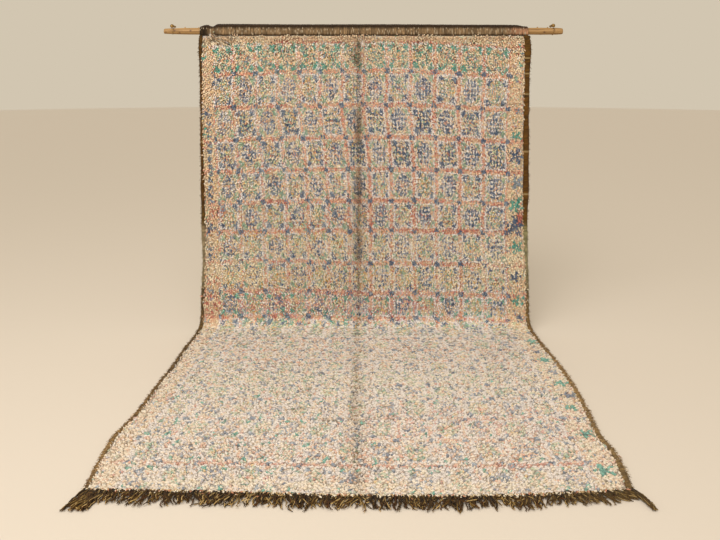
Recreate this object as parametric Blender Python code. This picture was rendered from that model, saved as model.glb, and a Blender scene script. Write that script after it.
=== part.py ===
"""Hand-knotted pile rug hung over a wooden pole, run down to the floor and out along it."""

import math
from collections import namedtuple

import bmesh
import bpy
from mathutils import Vector

# Driving dimensions, in metres. X runs along the pole, +Y towards the wall, Z up from the floor.
WALL_Y = 0.999
GAP = 0.0004

POLE_Z = 1.758
POLE_TO_WALL = 0.056
POLE_SIDES = 14

PILE_THICKNESS = 0.015
FIELD_TOP_Z = 1.7312
FRONT_CLEARANCE = 0.0235
FIELD_FRONT = 3.446

BEND_LENGTH = 0.145
BEND_TURN = math.radians(78.0)
TAIL_LENGTH = 0.36
TAIL_TURN = math.radians(12.0)
PATH_STEP = 0.001

CREASE_X = -0.028
CREASE_HALF_WIDTH = 0.030
CREASE_DEPTH = 0.006
COLUMNS_BESIDE_CREASE = 11
HANGING_ROWS = 15
BEND_ROWS = 9
TAIL_ROWS = 6
FLOOR_ROWS = 13

# The hanging part stands a little off its plain path: it swells in and out over these lengths.
DRAPE_SWELL = 0.005
SWELL_SHARE = 0.6
SETTLE_BELOW_TOP = 0.35
SETTLE_ABOVE_BEND = 0.30
Swell = namedtuple("Swell", "share across along phase")
SWELLS = (
    Swell(1.0, 4.6, 1.3, 0.6),
    Swell(0.6, 9.1, -2.2, 0.0),
)

BINDING_ROUND = 0.3
SMOOTH_ANGLE = math.radians(40.0)

HEADING_BACK_DROP = 0.058
HEADING_FRONT_THICKNESS = 0.009
HEADING_BACK_THICKNESS = 0.006
HEADING_BACK_CLEARANCE = 0.003
LEAST_CLEARANCE = 0.0023
LEAST_CREST_THICKNESS = 0.003
CREST_GAP_SHARE = 0.35
HEADING_ARC_STEPS = 6
HEADING_SPACING = 0.13

STRIP_DEPTH = 0.022
STRIP_HEIGHT = 0.009
LOCK_COUNT = 118
LOCK_WIDTH = 0.0085
LOCK_TIP_SHARE = 0.5
LOCK_TIP_HEIGHT = 0.004
LOCK_STEPS = 3
LOCK_CURL = 1.4
LOCK_LENGTH = 0.060
CORNER_LOCK_EXTRA = 0.058
CORNER_REACH = 0.075
LEFT_FAN = 0.045
RIGHT_FAN = 0.026

# Waves along the fringe: in the length of its locks, and in how far their tips lie to one side.
Wave = namedtuple("Wave", "height rate phase")
LENGTH_WAVES = (
    Wave(0.008125, 23.0, 0.7),
    Wave(0.004875, 61.0, 0.0),
)
SIDEWAYS_WAVES = (
    Wave(0.010, 17.0, 0.0),
    Wave(0.005, 41.0, 1.0),
)

KNOB_HEAD_RADIUS = 0.011
KNOB_SHANK_RADIUS = 0.006
KNOB_SIDES = 12
KNOB_REACH = 0.090
KNOB_HEAD_STEPS = 5
KNOB_NECK_SHARE = 0.2
WIRE_RADIUS = 0.0012
WIRE_CLEARANCE = 0.0006
WIRE_OPENING = math.radians(28.0)
WIRE_TURN_STEPS = 16
WIRE_CREST_STEPS = 6

# The long edges and their bindings, measured along the rug from the top of the pile.
EdgeRow = namedtuple("EdgeRow", "along left right left_binding right_binding")
EDGES = (
    EdgeRow(0.00, -0.960, 0.973, 0.020, 0.036),
    EdgeRow(0.09, -0.962, 0.980, 0.018, 0.040),
    EdgeRow(0.28, -0.954, 0.970, 0.014, 0.032),
    EdgeRow(0.48, -0.952, 0.967, 0.012, 0.033),
    EdgeRow(0.90, -0.948, 0.965, 0.021, 0.034),
    EdgeRow(1.10, -0.945, 0.957, 0.022, 0.028),
    EdgeRow(1.35, -0.939, 0.961, 0.018, 0.018),
    EdgeRow(1.55, -0.949, 0.967, 0.018, 0.020),
    EdgeRow(1.73, -0.952, 0.972, 0.018, 0.020),
    EdgeRow(1.99, -0.981, 0.998, 0.015, 0.020),
    EdgeRow(2.23, -0.986, 1.012, 0.014, 0.019),
    EdgeRow(2.53, -1.004, 1.014, 0.014, 0.019),
    EdgeRow(2.80, -1.015, 1.000, 0.014, 0.020),
    EdgeRow(3.03, -1.044, 0.985, 0.014, 0.021),
    EdgeRow(3.18, -1.043, 0.998, 0.014, 0.021),
    EdgeRow(3.45, -1.023, 0.970, 0.015, 0.021),
)

# How much further than FIELD_FRONT the front edge reaches, across the rug.
FrontRow = namedtuple("FrontRow", "across reach")
FRONT_BOW = (
    FrontRow(-1.05, 0.000),
    FrontRow(-0.60, 0.014),
    FrontRow(-0.10, 0.040),
    FrontRow(0.45, 0.044),
    FrontRow(1.02, 0.000),
)
BOW_STARTS = 2.63

# Low ridges where the rug has not settled: along and across are the middle of each.
Ridge = namedtuple("Ridge", "along across length width height skew")
RIDGES = (
    Ridge(2.17, -0.45, 0.09, 0.34, 0.006, 0.10),
    Ridge(2.45, 0.35, 0.10, 0.42, 0.007, -0.08),
    Ridge(2.71, 0.12, 0.08, 0.36, 0.010, 0.05),
    Ridge(2.96, -0.55, 0.08, 0.25, 0.005, 0.12),
)

# The heading's crest above the pole's axis, from the knotted left corner to the pulled right end.
CrestRow = namedtuple("CrestRow", "across crest")
CREST = (
    CrestRow(-0.957, 0.0270),
    CrestRow(-0.940, 0.0330),
    CrestRow(-0.915, 0.0365),
    CrestRow(-0.896, 0.0285),
    CrestRow(-0.884, 0.0262),
    CrestRow(-0.860, 0.0400),
    CrestRow(-0.830, 0.0425),
    CrestRow(-0.400, 0.0400),
    CrestRow(0.150, 0.0405),
    CrestRow(0.600, 0.0380),
    CrestRow(0.900, 0.0360),
    CrestRow(0.935, 0.0290),
    CrestRow(0.964, 0.0265),
)

# The pole's radius along it: it thins towards both cut ends.
PoleRow = namedtuple("PoleRow", "across radius")
POLE_PROFILE = (
    PoleRow(-1.173, 0.0140),
    PoleRow(-1.169, 0.0158),
    PoleRow(-1.125, 0.0172),
    PoleRow(-1.050, 0.0196),
    PoleRow(-0.700, 0.0202),
    PoleRow(-0.250, 0.0198),
    PoleRow(0.200, 0.0203),
    PoleRow(0.650, 0.0199),
    PoleRow(1.000, 0.0204),
    PoleRow(1.052, 0.0208),
    PoleRow(1.130, 0.0200),
    PoleRow(1.166, 0.0185),
    PoleRow(1.173, 0.0165),
)
POLE_RADIUS = 0.0208

# Where the pole is held from the wall.
Holder = namedtuple("Holder", "side across pole_radius")
HOLDERS = (
    Holder("left", -1.1206, 0.0178),
    Holder("right", 1.1118, 0.0204),
)

# Root places where a lock of the fringe has worn away.
WORN_ROOTS = (-0.430, 0.465, 0.645)

# Base colour, roughness and metallic value of each material.
Finish = namedtuple("Finish", "colour roughness metallic")
FINISHES = {
    "wool_pile": Finish((0.62, 0.47, 0.33), 0.95, 0.0),
    "heading_weave": Finish((0.16, 0.10, 0.06), 0.90, 0.0),
    "binding_hair": Finish((0.09, 0.05, 0.02), 0.88, 0.0),
    "fringe_hair": Finish((0.05, 0.03, 0.02), 0.88, 0.0),
    "peeled_wood": Finish((0.58, 0.36, 0.15), 0.55, 0.0),
    "aged_brass": Finish((0.45, 0.30, 0.12), 0.40, 1.0),
}


def clear_scene():
    """Remove every object that is in the file."""
    for thing in list(bpy.data.objects):
        bpy.data.objects.remove(thing, do_unlink=True)


def make_material(name):
    """A Principled material from the finishes."""
    finish = FINISHES[name]
    material = bpy.data.materials.new(name)
    material.use_nodes = True
    shader = material.node_tree.nodes["Principled BSDF"]
    shader.inputs["Base Color"].default_value = (*finish.colour, 1.0)
    shader.inputs["Roughness"].default_value = finish.roughness
    shader.inputs["Metallic"].default_value = finish.metallic
    return material


def smooth_value(rows, key, column, at):
    """A table's column at a place between its rows, on a smooth curve through them."""
    places = [getattr(row, key) for row in rows]
    values = [getattr(row, column) for row in rows]
    if at <= places[0]:
        return values[0]
    if at >= places[-1]:
        return values[-1]
    low = max(i for i in range(len(places) - 1) if places[i] <= at)
    span = places[low + 1] - places[low]
    share = (at - places[low]) / span

    def slope(i):
        before = max(i - 1, 0)
        after = min(i + 1, len(places) - 1)
        return (values[after] - values[before]) / (places[after] - places[before])

    start = (2 * share**3 - 3 * share**2 + 1) * values[low]
    end = (3 * share**2 - 2 * share**3) * values[low + 1]
    lean_in = (share**3 - 2 * share**2 + share) * span * slope(low)
    lean_out = (share**3 - share**2) * span * slope(low + 1)
    return start + end + lean_in + lean_out


def ease(share):
    """A soft step from 0 to 1."""
    share = min(max(share, 0.0), 1.0)
    return share * share * (3.0 - 2.0 * share)


def turn_at(distance):
    """The rug's direction past the start of its bend, from straight down to level."""
    main = BEND_TURN * ease(distance / BEND_LENGTH)
    tail = TAIL_TURN * ease(distance / (BEND_LENGTH + TAIL_LENGTH))
    return main + tail


def trace_bend():
    """The bend's back face as forward travel, drop and turn, a row for each small step."""
    rows = [(0.0, 0.0, 0.0)]
    forward = 0.0
    drop = 0.0
    steps = round((BEND_LENGTH + TAIL_LENGTH) / PATH_STEP)
    for step in range(steps):
        turn = turn_at((step + 0.5) * PATH_STEP)
        forward += math.sin(turn) * PATH_STEP
        drop += math.cos(turn) * PATH_STEP
        rows.append((forward, drop, turn_at((step + 1) * PATH_STEP)))
    return rows


BEND = trace_bend()
HANGING_LENGTH = FIELD_TOP_Z - BEND[-1][1]
FIELD_BACK_Y = WALL_Y - POLE_TO_WALL - FRONT_CLEARANCE


def back_point(along):
    """The place of the rug's back face along it, and the direction out of its pile side."""
    if along <= HANGING_LENGTH:
        return FIELD_BACK_Y, FIELD_TOP_Z - along, -1.0, 0.0
    past = along - HANGING_LENGTH
    if past >= BEND_LENGTH + TAIL_LENGTH:
        forward = BEND[-1][0] + past - BEND_LENGTH - TAIL_LENGTH
        return FIELD_BACK_Y - forward, 0.0, 0.0, 1.0
    low = min(int(past / PATH_STEP), len(BEND) - 2)
    share = past / PATH_STEP - low
    forward, drop, turn = (a + (b - a) * share for a, b in zip(BEND[low], BEND[low + 1]))
    height = FIELD_TOP_Z - HANGING_LENGTH - drop
    return FIELD_BACK_Y - forward, height, -math.cos(turn), math.sin(turn)


def stretched(along, across):
    """Rows near the front are drawn out to the front edge's bow."""
    share = (along - BOW_STARTS) / (FIELD_FRONT - BOW_STARTS)
    return along + max(share, 0.0) * smooth_value(FRONT_BOW, "across", "reach", across)


def lift(along, across):
    """How far the rug's back stands off its plain path: swells on the wall, ridges on the floor."""
    settle = ease(along / SETTLE_BELOW_TOP) * ease((HANGING_LENGTH - along) / SETTLE_ABOVE_BEND)
    swell = 0.0
    for wave in SWELLS:
        swell += wave.share * math.sin(wave.across * across + wave.along * along + wave.phase)
    total = DRAPE_SWELL * settle * (1.0 + SWELL_SHARE * swell)
    for ridge in RIDGES:
        side = across - ridge.across
        ahead = (along - ridge.along - ridge.skew * side) / ridge.length
        total += ridge.height * ease(1.0 - abs(ahead)) * ease(1.0 - abs(side) / ridge.width)
    return total


def rug_point(along, across, out):
    """A point of the rug, out from its back face."""
    y, z, out_y, out_z = back_point(stretched(along, across))
    out += lift(along, across)
    return Vector((across, y + out_y * out, z + out_z * out))


def rug_rows():
    """The places along the rug where its sections stand, closest together in the bend."""
    bend_end = HANGING_LENGTH + BEND_LENGTH
    tail_end = bend_end + TAIL_LENGTH
    stretches = (
        (0.0, HANGING_LENGTH, HANGING_ROWS),
        (HANGING_LENGTH, bend_end, BEND_ROWS),
        (bend_end, tail_end, TAIL_ROWS),
        (tail_end, FIELD_FRONT, FLOOR_ROWS),
    )
    rows = [0.0]
    for start, end, count in stretches:
        rows += [start + (end - start) * (i + 1) / count for i in range(count)]
    return rows


def edge(column, along):
    """One of the long edges' columns at a place along the rug."""
    return smooth_value(EDGES, "along", column, along)


def field_places(along):
    """Places across the pile field in one section, with the crease between two even halves."""
    left = edge("left", along) + edge("left_binding", along) + GAP
    right = edge("right", along) - edge("right_binding", along) - GAP
    beside = COLUMNS_BESIDE_CREASE
    near_left = CREASE_X - CREASE_HALF_WIDTH
    near_right = CREASE_X + CREASE_HALF_WIDTH
    places = [left + (near_left - left) * i / beside for i in range(beside + 1)]
    places.append(CREASE_X)
    places += [near_right + (right - near_right) * i / beside for i in range(beside + 1)]
    return places


def add_object(name, mesh_data, material_name):
    """Turn a bmesh into a named object with its material."""
    bmesh.ops.recalc_face_normals(mesh_data, faces=mesh_data.faces)
    mesh = bpy.data.meshes.new(name)
    mesh_data.to_mesh(mesh)
    mesh_data.free()
    mesh.shade_smooth()
    mesh.set_sharp_from_angle(angle=SMOOTH_ANGLE)
    mesh.materials.append(make_material(material_name))
    thing = bpy.data.objects.new(name, mesh)
    bpy.context.scene.collection.objects.link(thing)
    return thing


def loft(sections):
    """A closed body through rings of points that all have the same count."""
    shape = bmesh.new()
    rings = [[shape.verts.new(point) for point in section] for section in sections]
    count = len(rings[0])
    for ring, following in zip(rings, rings[1:]):
        for i in range(count):
            after = (i + 1) % count
            shape.faces.new((ring[i], ring[after], following[after], following[i]))
    shape.faces.new(rings[0])
    shape.faces.new(list(reversed(rings[-1])))
    return shape


def build_field():
    """The knotted pile field, one sheet with its back and pile faces."""
    shape = bmesh.new()
    backs = []
    fronts = []
    for along in rug_rows():
        places = field_places(along)
        backs.append([shape.verts.new(rug_point(along, x, 0.0)) for x in places])
        front = []
        for x in places:
            parted = CREASE_DEPTH if x == CREASE_X else 0.0
            front.append(shape.verts.new(rug_point(along, x, PILE_THICKNESS - parted)))
        fronts.append(front)
    last = len(backs[0]) - 1
    for sheet in (backs, fronts):
        for row, following in zip(sheet, sheet[1:]):
            for i in range(last):
                shape.faces.new((row[i], row[i + 1], following[i + 1], following[i]))
    for i in range(last):
        for back, front in ((backs[0], fronts[0]), (backs[-1], fronts[-1])):
            shape.faces.new((back[i], back[i + 1], front[i + 1], front[i]))
    for row in range(len(backs) - 1):
        for side in (0, last):
            shape.faces.new(
                (backs[row][side], backs[row + 1][side], fronts[row + 1][side], fronts[row][side])
            )
    return add_object("rug_field", shape, "wool_pile")


def build_binding(side):
    """The overcast binding along one long edge, flat against the field and round outside."""
    outward = -1.0 if side == "left" else 1.0
    sections = []
    for along in rug_rows():
        outer = edge(side, along)
        width = edge(side + "_binding", along)
        inner = outer - outward * width
        shoulder = outer - outward * width * BINDING_ROUND
        sections.append(
            [
                rug_point(along, inner, 0.0),
                rug_point(along, shoulder, 0.0),
                rug_point(along, outer, PILE_THICKNESS * BINDING_ROUND),
                rug_point(along, outer, PILE_THICKNESS * (1.0 - BINDING_ROUND)),
                rug_point(along, shoulder, PILE_THICKNESS),
                rug_point(along, inner, PILE_THICKNESS),
            ]
        )
    return add_object("selvedge_" + side, loft(sections), "binding_hair")


def heading_section(x, crest):
    """One section of the heading: up in front of the pole, over it and down behind."""
    spare = max(crest - POLE_RADIUS - LEAST_CLEARANCE - LEAST_CREST_THICKNESS, 0.0)
    crest_clearance = LEAST_CLEARANCE + CREST_GAP_SHARE * spare
    crest_thickness = crest - POLE_RADIUS - crest_clearance
    front_clearance = FRONT_CLEARANCE - POLE_RADIUS
    low_front = FIELD_TOP_Z + GAP - POLE_Z
    inner = [(-FRONT_CLEARANCE, low_front)]
    outer = [(-FRONT_CLEARANCE - HEADING_FRONT_THICKNESS, low_front)]
    for step in range(HEADING_ARC_STEPS + 1):
        angle = math.pi * step / HEADING_ARC_STEPS
        up = math.sin(angle) ** 2
        behind = (1.0 - math.cos(angle)) / 2.0
        side_clearance = front_clearance + (HEADING_BACK_CLEARANCE - front_clearance) * behind
        thickness_change = HEADING_BACK_THICKNESS - HEADING_FRONT_THICKNESS
        side_thickness = HEADING_FRONT_THICKNESS + thickness_change * behind
        clearance = side_clearance + (crest_clearance - side_clearance) * up
        thickness = side_thickness + (crest_thickness - side_thickness) * up
        inside = POLE_RADIUS + clearance
        outside = inside + thickness
        inner.append((-math.cos(angle) * inside, math.sin(angle) * inside))
        outer.append((-math.cos(angle) * outside, math.sin(angle) * outside))
    inner.append((inner[-1][0], -HEADING_BACK_DROP))
    outer.append((outer[-1][0], -HEADING_BACK_DROP))
    pole_y = WALL_Y - POLE_TO_WALL
    return [Vector((x, pole_y + y, POLE_Z + z)) for y, z in inner + outer[::-1]]


def build_heading():
    """The flat-woven band at the top end, taken over the pole."""
    stations = [CREST[0].across]
    for row, following in zip(CREST, CREST[1:]):
        parts = max(1, math.ceil((following.across - row.across) / HEADING_SPACING))
        for i in range(parts):
            stations.append(row.across + (following.across - row.across) * (i + 1) / parts)
    sections = [heading_section(x, smooth_value(CREST, "across", "crest", x)) for x in stations]
    return add_object("heading", loft(sections), "heading_weave")


def waves_at(waves, across):
    """The sum of some waves at a place across the rug."""
    return sum(wave.height * math.sin(wave.rate * across + wave.phase) for wave in waves)


def lock_shift(across, left, right):
    """How far a lock's tip lies to one side: soft waves, and a fan at both corners."""
    fan_left = LEFT_FAN * math.exp(-(across - left) / CORNER_REACH)
    fan_right = RIGHT_FAN * math.exp(-(right - across) / CORNER_REACH)
    return waves_at(SIDEWAYS_WAVES, across) - fan_left + fan_right


def lock_length(across, left, right):
    """A lock's length: uneven along the edge, longest at both corners."""
    corner = math.exp(-min(across - left, right - across) / CORNER_REACH)
    return LOCK_LENGTH + waves_at(LENGTH_WAVES, across) + CORNER_LOCK_EXTRA * corner


def grow_lock(shape, root, across, left, right):
    """Draw one lock out of the strip's front face, lying level on the floor."""
    face_points = [vertex.co.copy() for vertex in root]
    start = sum(face_points, Vector()) / len(face_points)
    start.z = 0.0
    length = lock_length(across, left, right)
    shift = lock_shift(across, left, right)
    ring = root
    for step in range(1, LOCK_STEPS + 1):
        share = step / LOCK_STEPS
        centre = start + Vector((shift * share**LOCK_CURL, -length * share, 0.0))
        sideways = shift * LOCK_CURL * share ** (LOCK_CURL - 1.0)
        ahead = Vector((sideways, -length, 0.0)).normalized()
        beside = Vector((-ahead.y, ahead.x, 0.0))
        half = LOCK_WIDTH / 2.0 * (1.0 - (1.0 - LOCK_TIP_SHARE) * share)
        height = STRIP_HEIGHT + (LOCK_TIP_HEIGHT - STRIP_HEIGHT) * share
        corners = (
            centre - beside * half,
            centre + beside * half,
            centre + beside * half + Vector((0.0, 0.0, height)),
            centre - beside * half + Vector((0.0, 0.0, height)),
        )
        following = [shape.verts.new(corner) for corner in corners]
        for i in range(4):
            after = (i + 1) % 4
            shape.faces.new((ring[i], ring[after], following[after], following[i]))
        ring = following
    shape.faces.new(list(reversed(ring)))


def join_sections(shape, previous, current, open_front):
    """Skin the strip between two sections, leaving its front open where a lock is drawn out."""
    for i in range(4):
        after = (i + 1) % 4
        if i == 2 and open_front:
            continue
        shape.faces.new((previous[i], previous[after], current[after], current[i]))


def build_fringe():
    """The end strip in front of the pile, with its locks drawn out of it."""
    left = edge("left", FIELD_FRONT)
    right = edge("right", FIELD_FRONT)
    pitch = (right - left) / LOCK_COUNT
    shape = bmesh.new()

    def section(x):
        edge_y = rug_point(FIELD_FRONT, x, 0.0).y - GAP
        points = (
            Vector((x, edge_y, 0.0)),
            Vector((x, edge_y, STRIP_HEIGHT)),
            Vector((x, edge_y - STRIP_DEPTH, STRIP_HEIGHT)),
            Vector((x, edge_y - STRIP_DEPTH, 0.0)),
        )
        return [shape.verts.new(point) for point in points]

    previous = section(left)
    shape.faces.new(previous)
    for lock in range(LOCK_COUNT):
        middle = left + (lock + 0.5) * pitch
        worn = any(abs(middle - place) < pitch / 2.0 for place in WORN_ROOTS)
        places = (middle - LOCK_WIDTH / 2.0, middle + LOCK_WIDTH / 2.0)
        for number, x in enumerate(places):
            current = section(x)
            grows = number == 1 and not worn
            join_sections(shape, previous, current, open_front=grows)
            if grows:
                root = [previous[3], current[3], current[2], previous[2]]
                grow_lock(shape, root, middle, left, right)
            previous = current
    current = section(right)
    join_sections(shape, previous, current, open_front=False)
    shape.faces.new(list(reversed(current)))
    return add_object("fringe", shape, "fringe_hair")


def build_pole():
    """The peeled wooden pole, thinner at its cut ends."""
    pole_y = WALL_Y - POLE_TO_WALL
    sections = []
    for row in POLE_PROFILE:
        ring = []
        for side in range(POLE_SIDES):
            angle = 2.0 * math.pi * side / POLE_SIDES
            y = pole_y + row.radius * math.cos(angle)
            ring.append(Vector((row.across, y, POLE_Z + row.radius * math.sin(angle))))
        sections.append(ring)
    return add_object("pole", loft(sections), "peeled_wood")


def knob_height(holder):
    """The height of a knob's axis, with its head just clear of the pole's top."""
    return POLE_Z + holder.pole_radius + KNOB_HEAD_RADIUS + WIRE_CLEARANCE


def build_knob(holder):
    """A turned knob: a plain shank from the wall and a ball head over the pole."""
    head_start = KNOB_REACH - 2.0 * KNOB_HEAD_RADIUS
    profile = [(0.0, KNOB_SHANK_RADIUS), (head_start, KNOB_SHANK_RADIUS)]
    for step in range(1, KNOB_HEAD_STEPS):
        share = step / KNOB_HEAD_STEPS
        angle = math.pi * (KNOB_NECK_SHARE + (1.0 - KNOB_NECK_SHARE) * share)
        reach = KNOB_REACH - KNOB_HEAD_RADIUS * (1.0 + math.cos(angle))
        profile.append((reach, KNOB_HEAD_RADIUS * math.sin(angle)))
    sections = []
    for reach, radius in profile:
        ring = []
        for side in range(KNOB_SIDES):
            angle = 2.0 * math.pi * side / KNOB_SIDES
            x = holder.across + radius * math.cos(angle)
            ring.append(Vector((x, WALL_Y - reach, knob_height(holder) + radius * math.sin(angle))))
        sections.append(ring)
    return add_object("knob_" + holder.side, loft(sections), "aged_brass")


def build_loop(holder):
    """A wire loop that goes under the pole and over the knob's shank."""
    around = holder.pole_radius + WIRE_RADIUS + WIRE_CLEARANCE
    spread = KNOB_SHANK_RADIUS + WIRE_RADIUS + WIRE_CLEARANCE
    pole_y = WALL_Y - POLE_TO_WALL
    points = []
    for step in range(WIRE_TURN_STEPS + 1):
        share = step / WIRE_TURN_STEPS
        angle = WIRE_OPENING + 2.0 * (math.pi - WIRE_OPENING) * share
        x = holder.across + spread * (1.0 - 2.0 * share)
        y = pole_y - around * math.sin(angle)
        points.append((x, y, POLE_Z + around * math.cos(angle)))
    start = Vector(points[-1])
    end = Vector(points[0])
    rise = knob_height(holder) - POLE_Z
    for step in range(1, WIRE_CREST_STEPS):
        share = step / WIRE_CREST_STEPS
        angle = math.pi * share
        x = holder.across - spread * math.cos(angle)
        y = start.y + (end.y - start.y) * share
        points.append((x, y, POLE_Z + rise + spread * math.sin(angle)))
    name = "loop_" + holder.side
    curve = bpy.data.curves.new(name, "CURVE")
    curve.dimensions = "3D"
    curve.bevel_depth = WIRE_RADIUS
    curve.bevel_resolution = 1
    spline = curve.splines.new("POLY")
    spline.points.add(len(points) - 1)
    for spot, point in zip(spline.points, points):
        spot.co = (*point, 1.0)
    spline.use_cyclic_u = True
    curve.materials.append(make_material("aged_brass"))
    thing = bpy.data.objects.new(name, curve)
    bpy.context.scene.collection.objects.link(thing)
    return thing


def main():
    clear_scene()
    build_field()
    build_binding("left")
    build_binding("right")
    build_heading()
    build_fringe()
    build_pole()
    for holder in HOLDERS:
        build_knob(holder)
        build_loop(holder)


main()
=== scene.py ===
import math

import bmesh
import bpy
import numpy as np
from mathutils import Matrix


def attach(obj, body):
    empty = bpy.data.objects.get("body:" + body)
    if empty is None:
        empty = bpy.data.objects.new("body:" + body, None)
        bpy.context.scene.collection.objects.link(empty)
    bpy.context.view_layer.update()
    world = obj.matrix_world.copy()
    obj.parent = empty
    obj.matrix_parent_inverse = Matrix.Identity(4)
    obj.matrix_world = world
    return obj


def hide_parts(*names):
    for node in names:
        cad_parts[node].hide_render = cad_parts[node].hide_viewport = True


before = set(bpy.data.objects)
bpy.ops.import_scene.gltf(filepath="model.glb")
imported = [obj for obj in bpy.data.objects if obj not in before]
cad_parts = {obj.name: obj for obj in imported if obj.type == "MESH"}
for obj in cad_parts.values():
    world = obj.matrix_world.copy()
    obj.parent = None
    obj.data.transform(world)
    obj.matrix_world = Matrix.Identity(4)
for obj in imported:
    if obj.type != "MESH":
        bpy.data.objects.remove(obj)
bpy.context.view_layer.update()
dice = np.random.default_rng(7)
scene = bpy.context.scene


# helpers

def linear(hexColour):  # an sRGB hex colour as linear red, green, blue and alpha
    parts = [int(hexColour[i:i + 2], 16) / 255 for i in (1, 3, 5)]
    return [p / 12.92 if p <= 0.04045 else ((p + 0.055) / 1.055) ** 2.4 for p in parts] + [1.0]


def shadesOf(*hexColours):  # a row of linear red, green and blue for each hex colour
    return np.array([linear(colour)[:3] for colour in hexColours])


def pickShades(hexColours, count, skew):  # a random colour for each strand, the first ones oftener
    shades = shadesOf(*hexColours)
    return shades[(dice.random(count) ** skew * len(shades)).astype(int)]


def addNode(tree, kind, settings=None, links=None):  # a shader node with its settings and links
    node = tree.nodes.new(kind)
    for key, value in (settings or {}).items():
        if isinstance(key, int) or key in node.inputs:
            node.inputs[key].default_value = value
        else:
            setattr(node, key, value)
    for key, socket in (links or {}).items():
        tree.links.new(socket, node.inputs[key])
    return node


def startMaterial(name, roughness, metallic=0.0, sheen=0.0, gloss=0.5):
    material = bpy.data.materials.new(name)
    material.use_nodes = True
    shader = material.node_tree.nodes["Principled BSDF"]
    shader.inputs["Roughness"].default_value = roughness
    shader.inputs["Metallic"].default_value = metallic
    shader.inputs["Sheen Weight"].default_value = sheen
    shader.inputs["Specular IOR Level"].default_value = gloss
    return material, material.node_tree, shader


def paintFibres(tree, shader, layer, height, shade, bump):
    # the strands' own colours from the mesh, shaded and raised by a fine pattern
    colour = addNode(tree, "ShaderNodeAttribute", {"attribute_name": layer})
    tone = addNode(tree, "ShaderNodeMapRange", shade, {"Value": height})
    mixed = addNode(tree, "ShaderNodeMix", {"data_type": "RGBA", "blend_type": "MULTIPLY", 0: 1.0},
                    {6: colour.outputs["Color"], 7: tone.outputs["Result"]})
    raised = addNode(tree, "ShaderNodeBump", bump, {"Height": height})
    tree.links.new(mixed.outputs[2], shader.inputs["Base Color"])
    tree.links.new(raised.outputs["Normal"], shader.inputs["Normal"])


def ease(share):  # a soft step from 0 to 1
    share = np.clip(share, 0.0, 1.0)
    return share * share * (3.0 - 2.0 * share)


def waves(at, *rows):  # sine waves added up: how high, how close, where they start
    return sum(high * np.sin(pace * at + start) for high, pace, start in rows)


def scatter(numbers):  # a chance from 0 to 1, always the same one for the same number
    chance = np.sin(numbers) * 43758.5453
    return chance - np.floor(chance)


def readTable(rows, column, at):  # a smooth curve through one column of a table
    table = np.array(rows, dtype=float)
    places, values = table[:, 0], table[:, column]
    last = len(places) - 1
    after = np.minimum(np.arange(last + 1) + 1, last)
    before = np.maximum(np.arange(last + 1) - 1, 0)
    slopes = (values[after] - values[before]) / (places[after] - places[before])
    at = np.clip(at, places[0], places[-1])
    low = np.clip(np.searchsorted(places, at, side="right") - 1, 0, last - 1)
    span = places[low + 1] - places[low]
    t = (at - places[low]) / span
    start = (2 * t**3 - 3 * t**2 + 1) * values[low] + (t**3 - 2 * t**2 + t) * span * slopes[low]
    end = (3 * t**2 - 2 * t**3) * values[low + 1] + (t**3 - t**2) * span * slopes[low + 1]
    return start + end


def unit(vectors):
    return vectors / np.maximum(np.linalg.norm(vectors, axis=-1, keepdims=True), 1e-9)


def xyz(x, y, z):  # points from their x, y and z, of which any may be one number for all
    return np.stack(np.broadcast_arrays(x, y, z), -1)


def newPiece(name, points, faces, material):  # a mesh object from arrays of points and faces
    mesh = bpy.data.meshes.new(name)
    points[:, 2] = np.maximum(points[:, 2], 0.0)  # nothing reaches below the floor
    mesh.from_pydata(points, [], faces)
    mesh.shade_smooth()
    mesh.materials.append(material)
    piece = bpy.data.objects.new(name, mesh)
    scene.collection.objects.link(piece)
    return piece


def paintPiece(piece, layer, colours, each="POINT"):  # a linear colour for each point or face corner
    rgba = np.ones((len(colours), 4), dtype=np.float32)
    rgba[:, :3] = colours
    paint = piece.data.color_attributes.new(layer, "FLOAT_COLOR", each)
    paint.data.foreach_set("color", rgba.ravel())


def cornersOf(piece):  # the point that each face corner uses
    corners = np.empty(len(piece.data.loops), dtype=np.int32)
    piece.data.loops.foreach_get("vertex_index", corners)
    return corners


def layUv(piece, layer, places):  # a place on the texture for each corner
    piece.data.uv_layers.new(name=layer).data.foreach_set("uv", places.astype(np.float32).ravel())


def tubeFaces(count, steps, sides):  # the walls and the end caps of closed tubes
    index = np.arange(count * steps * sides).reshape(count, steps, sides)
    turned = np.roll(index, -1, axis=2)
    walls = np.stack([index[:, :-1], turned[:, :-1], turned[:, 1:], index[:, 1:]], axis=-1)
    caps = np.concatenate([index[:, 0, ::-1], index[:, -1]])
    return walls.reshape(-1, 4).tolist(), caps.tolist()


def makeTubes(paths, radii, sides, roll=0.0):  # closed tapered tubes along many paths at once
    ahead = unit(np.gradient(paths, axis=1))
    guide = np.where(np.abs(ahead[..., 2:]) < 0.85, [0.0, 0.0, 1.0], [0.0, 1.0, 0.0])
    across = unit(np.cross(ahead, guide))
    above = np.cross(across, ahead)
    angle = 2 * math.pi * np.arange(sides) / sides + np.reshape(roll, (-1, 1, 1))
    ring = np.cos(angle)[..., None] * across[:, :, None] + np.sin(angle)[..., None] * above[:, :, None]
    points = paths[:, :, None] + radii[:, :, None, None] * ring
    walls, caps = tubeFaces(*paths.shape[:2], sides)
    return points.reshape(-1, 3), walls + caps


def makeStrands(paths, radii, sides, colours, roll=0.0):
    # tubes with one colour for each strand, or one for each step along every strand
    points, faces = makeTubes(paths, radii, sides, roll)
    return points, faces, np.repeat(colours, len(points) // len(colours), axis=0)


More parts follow.
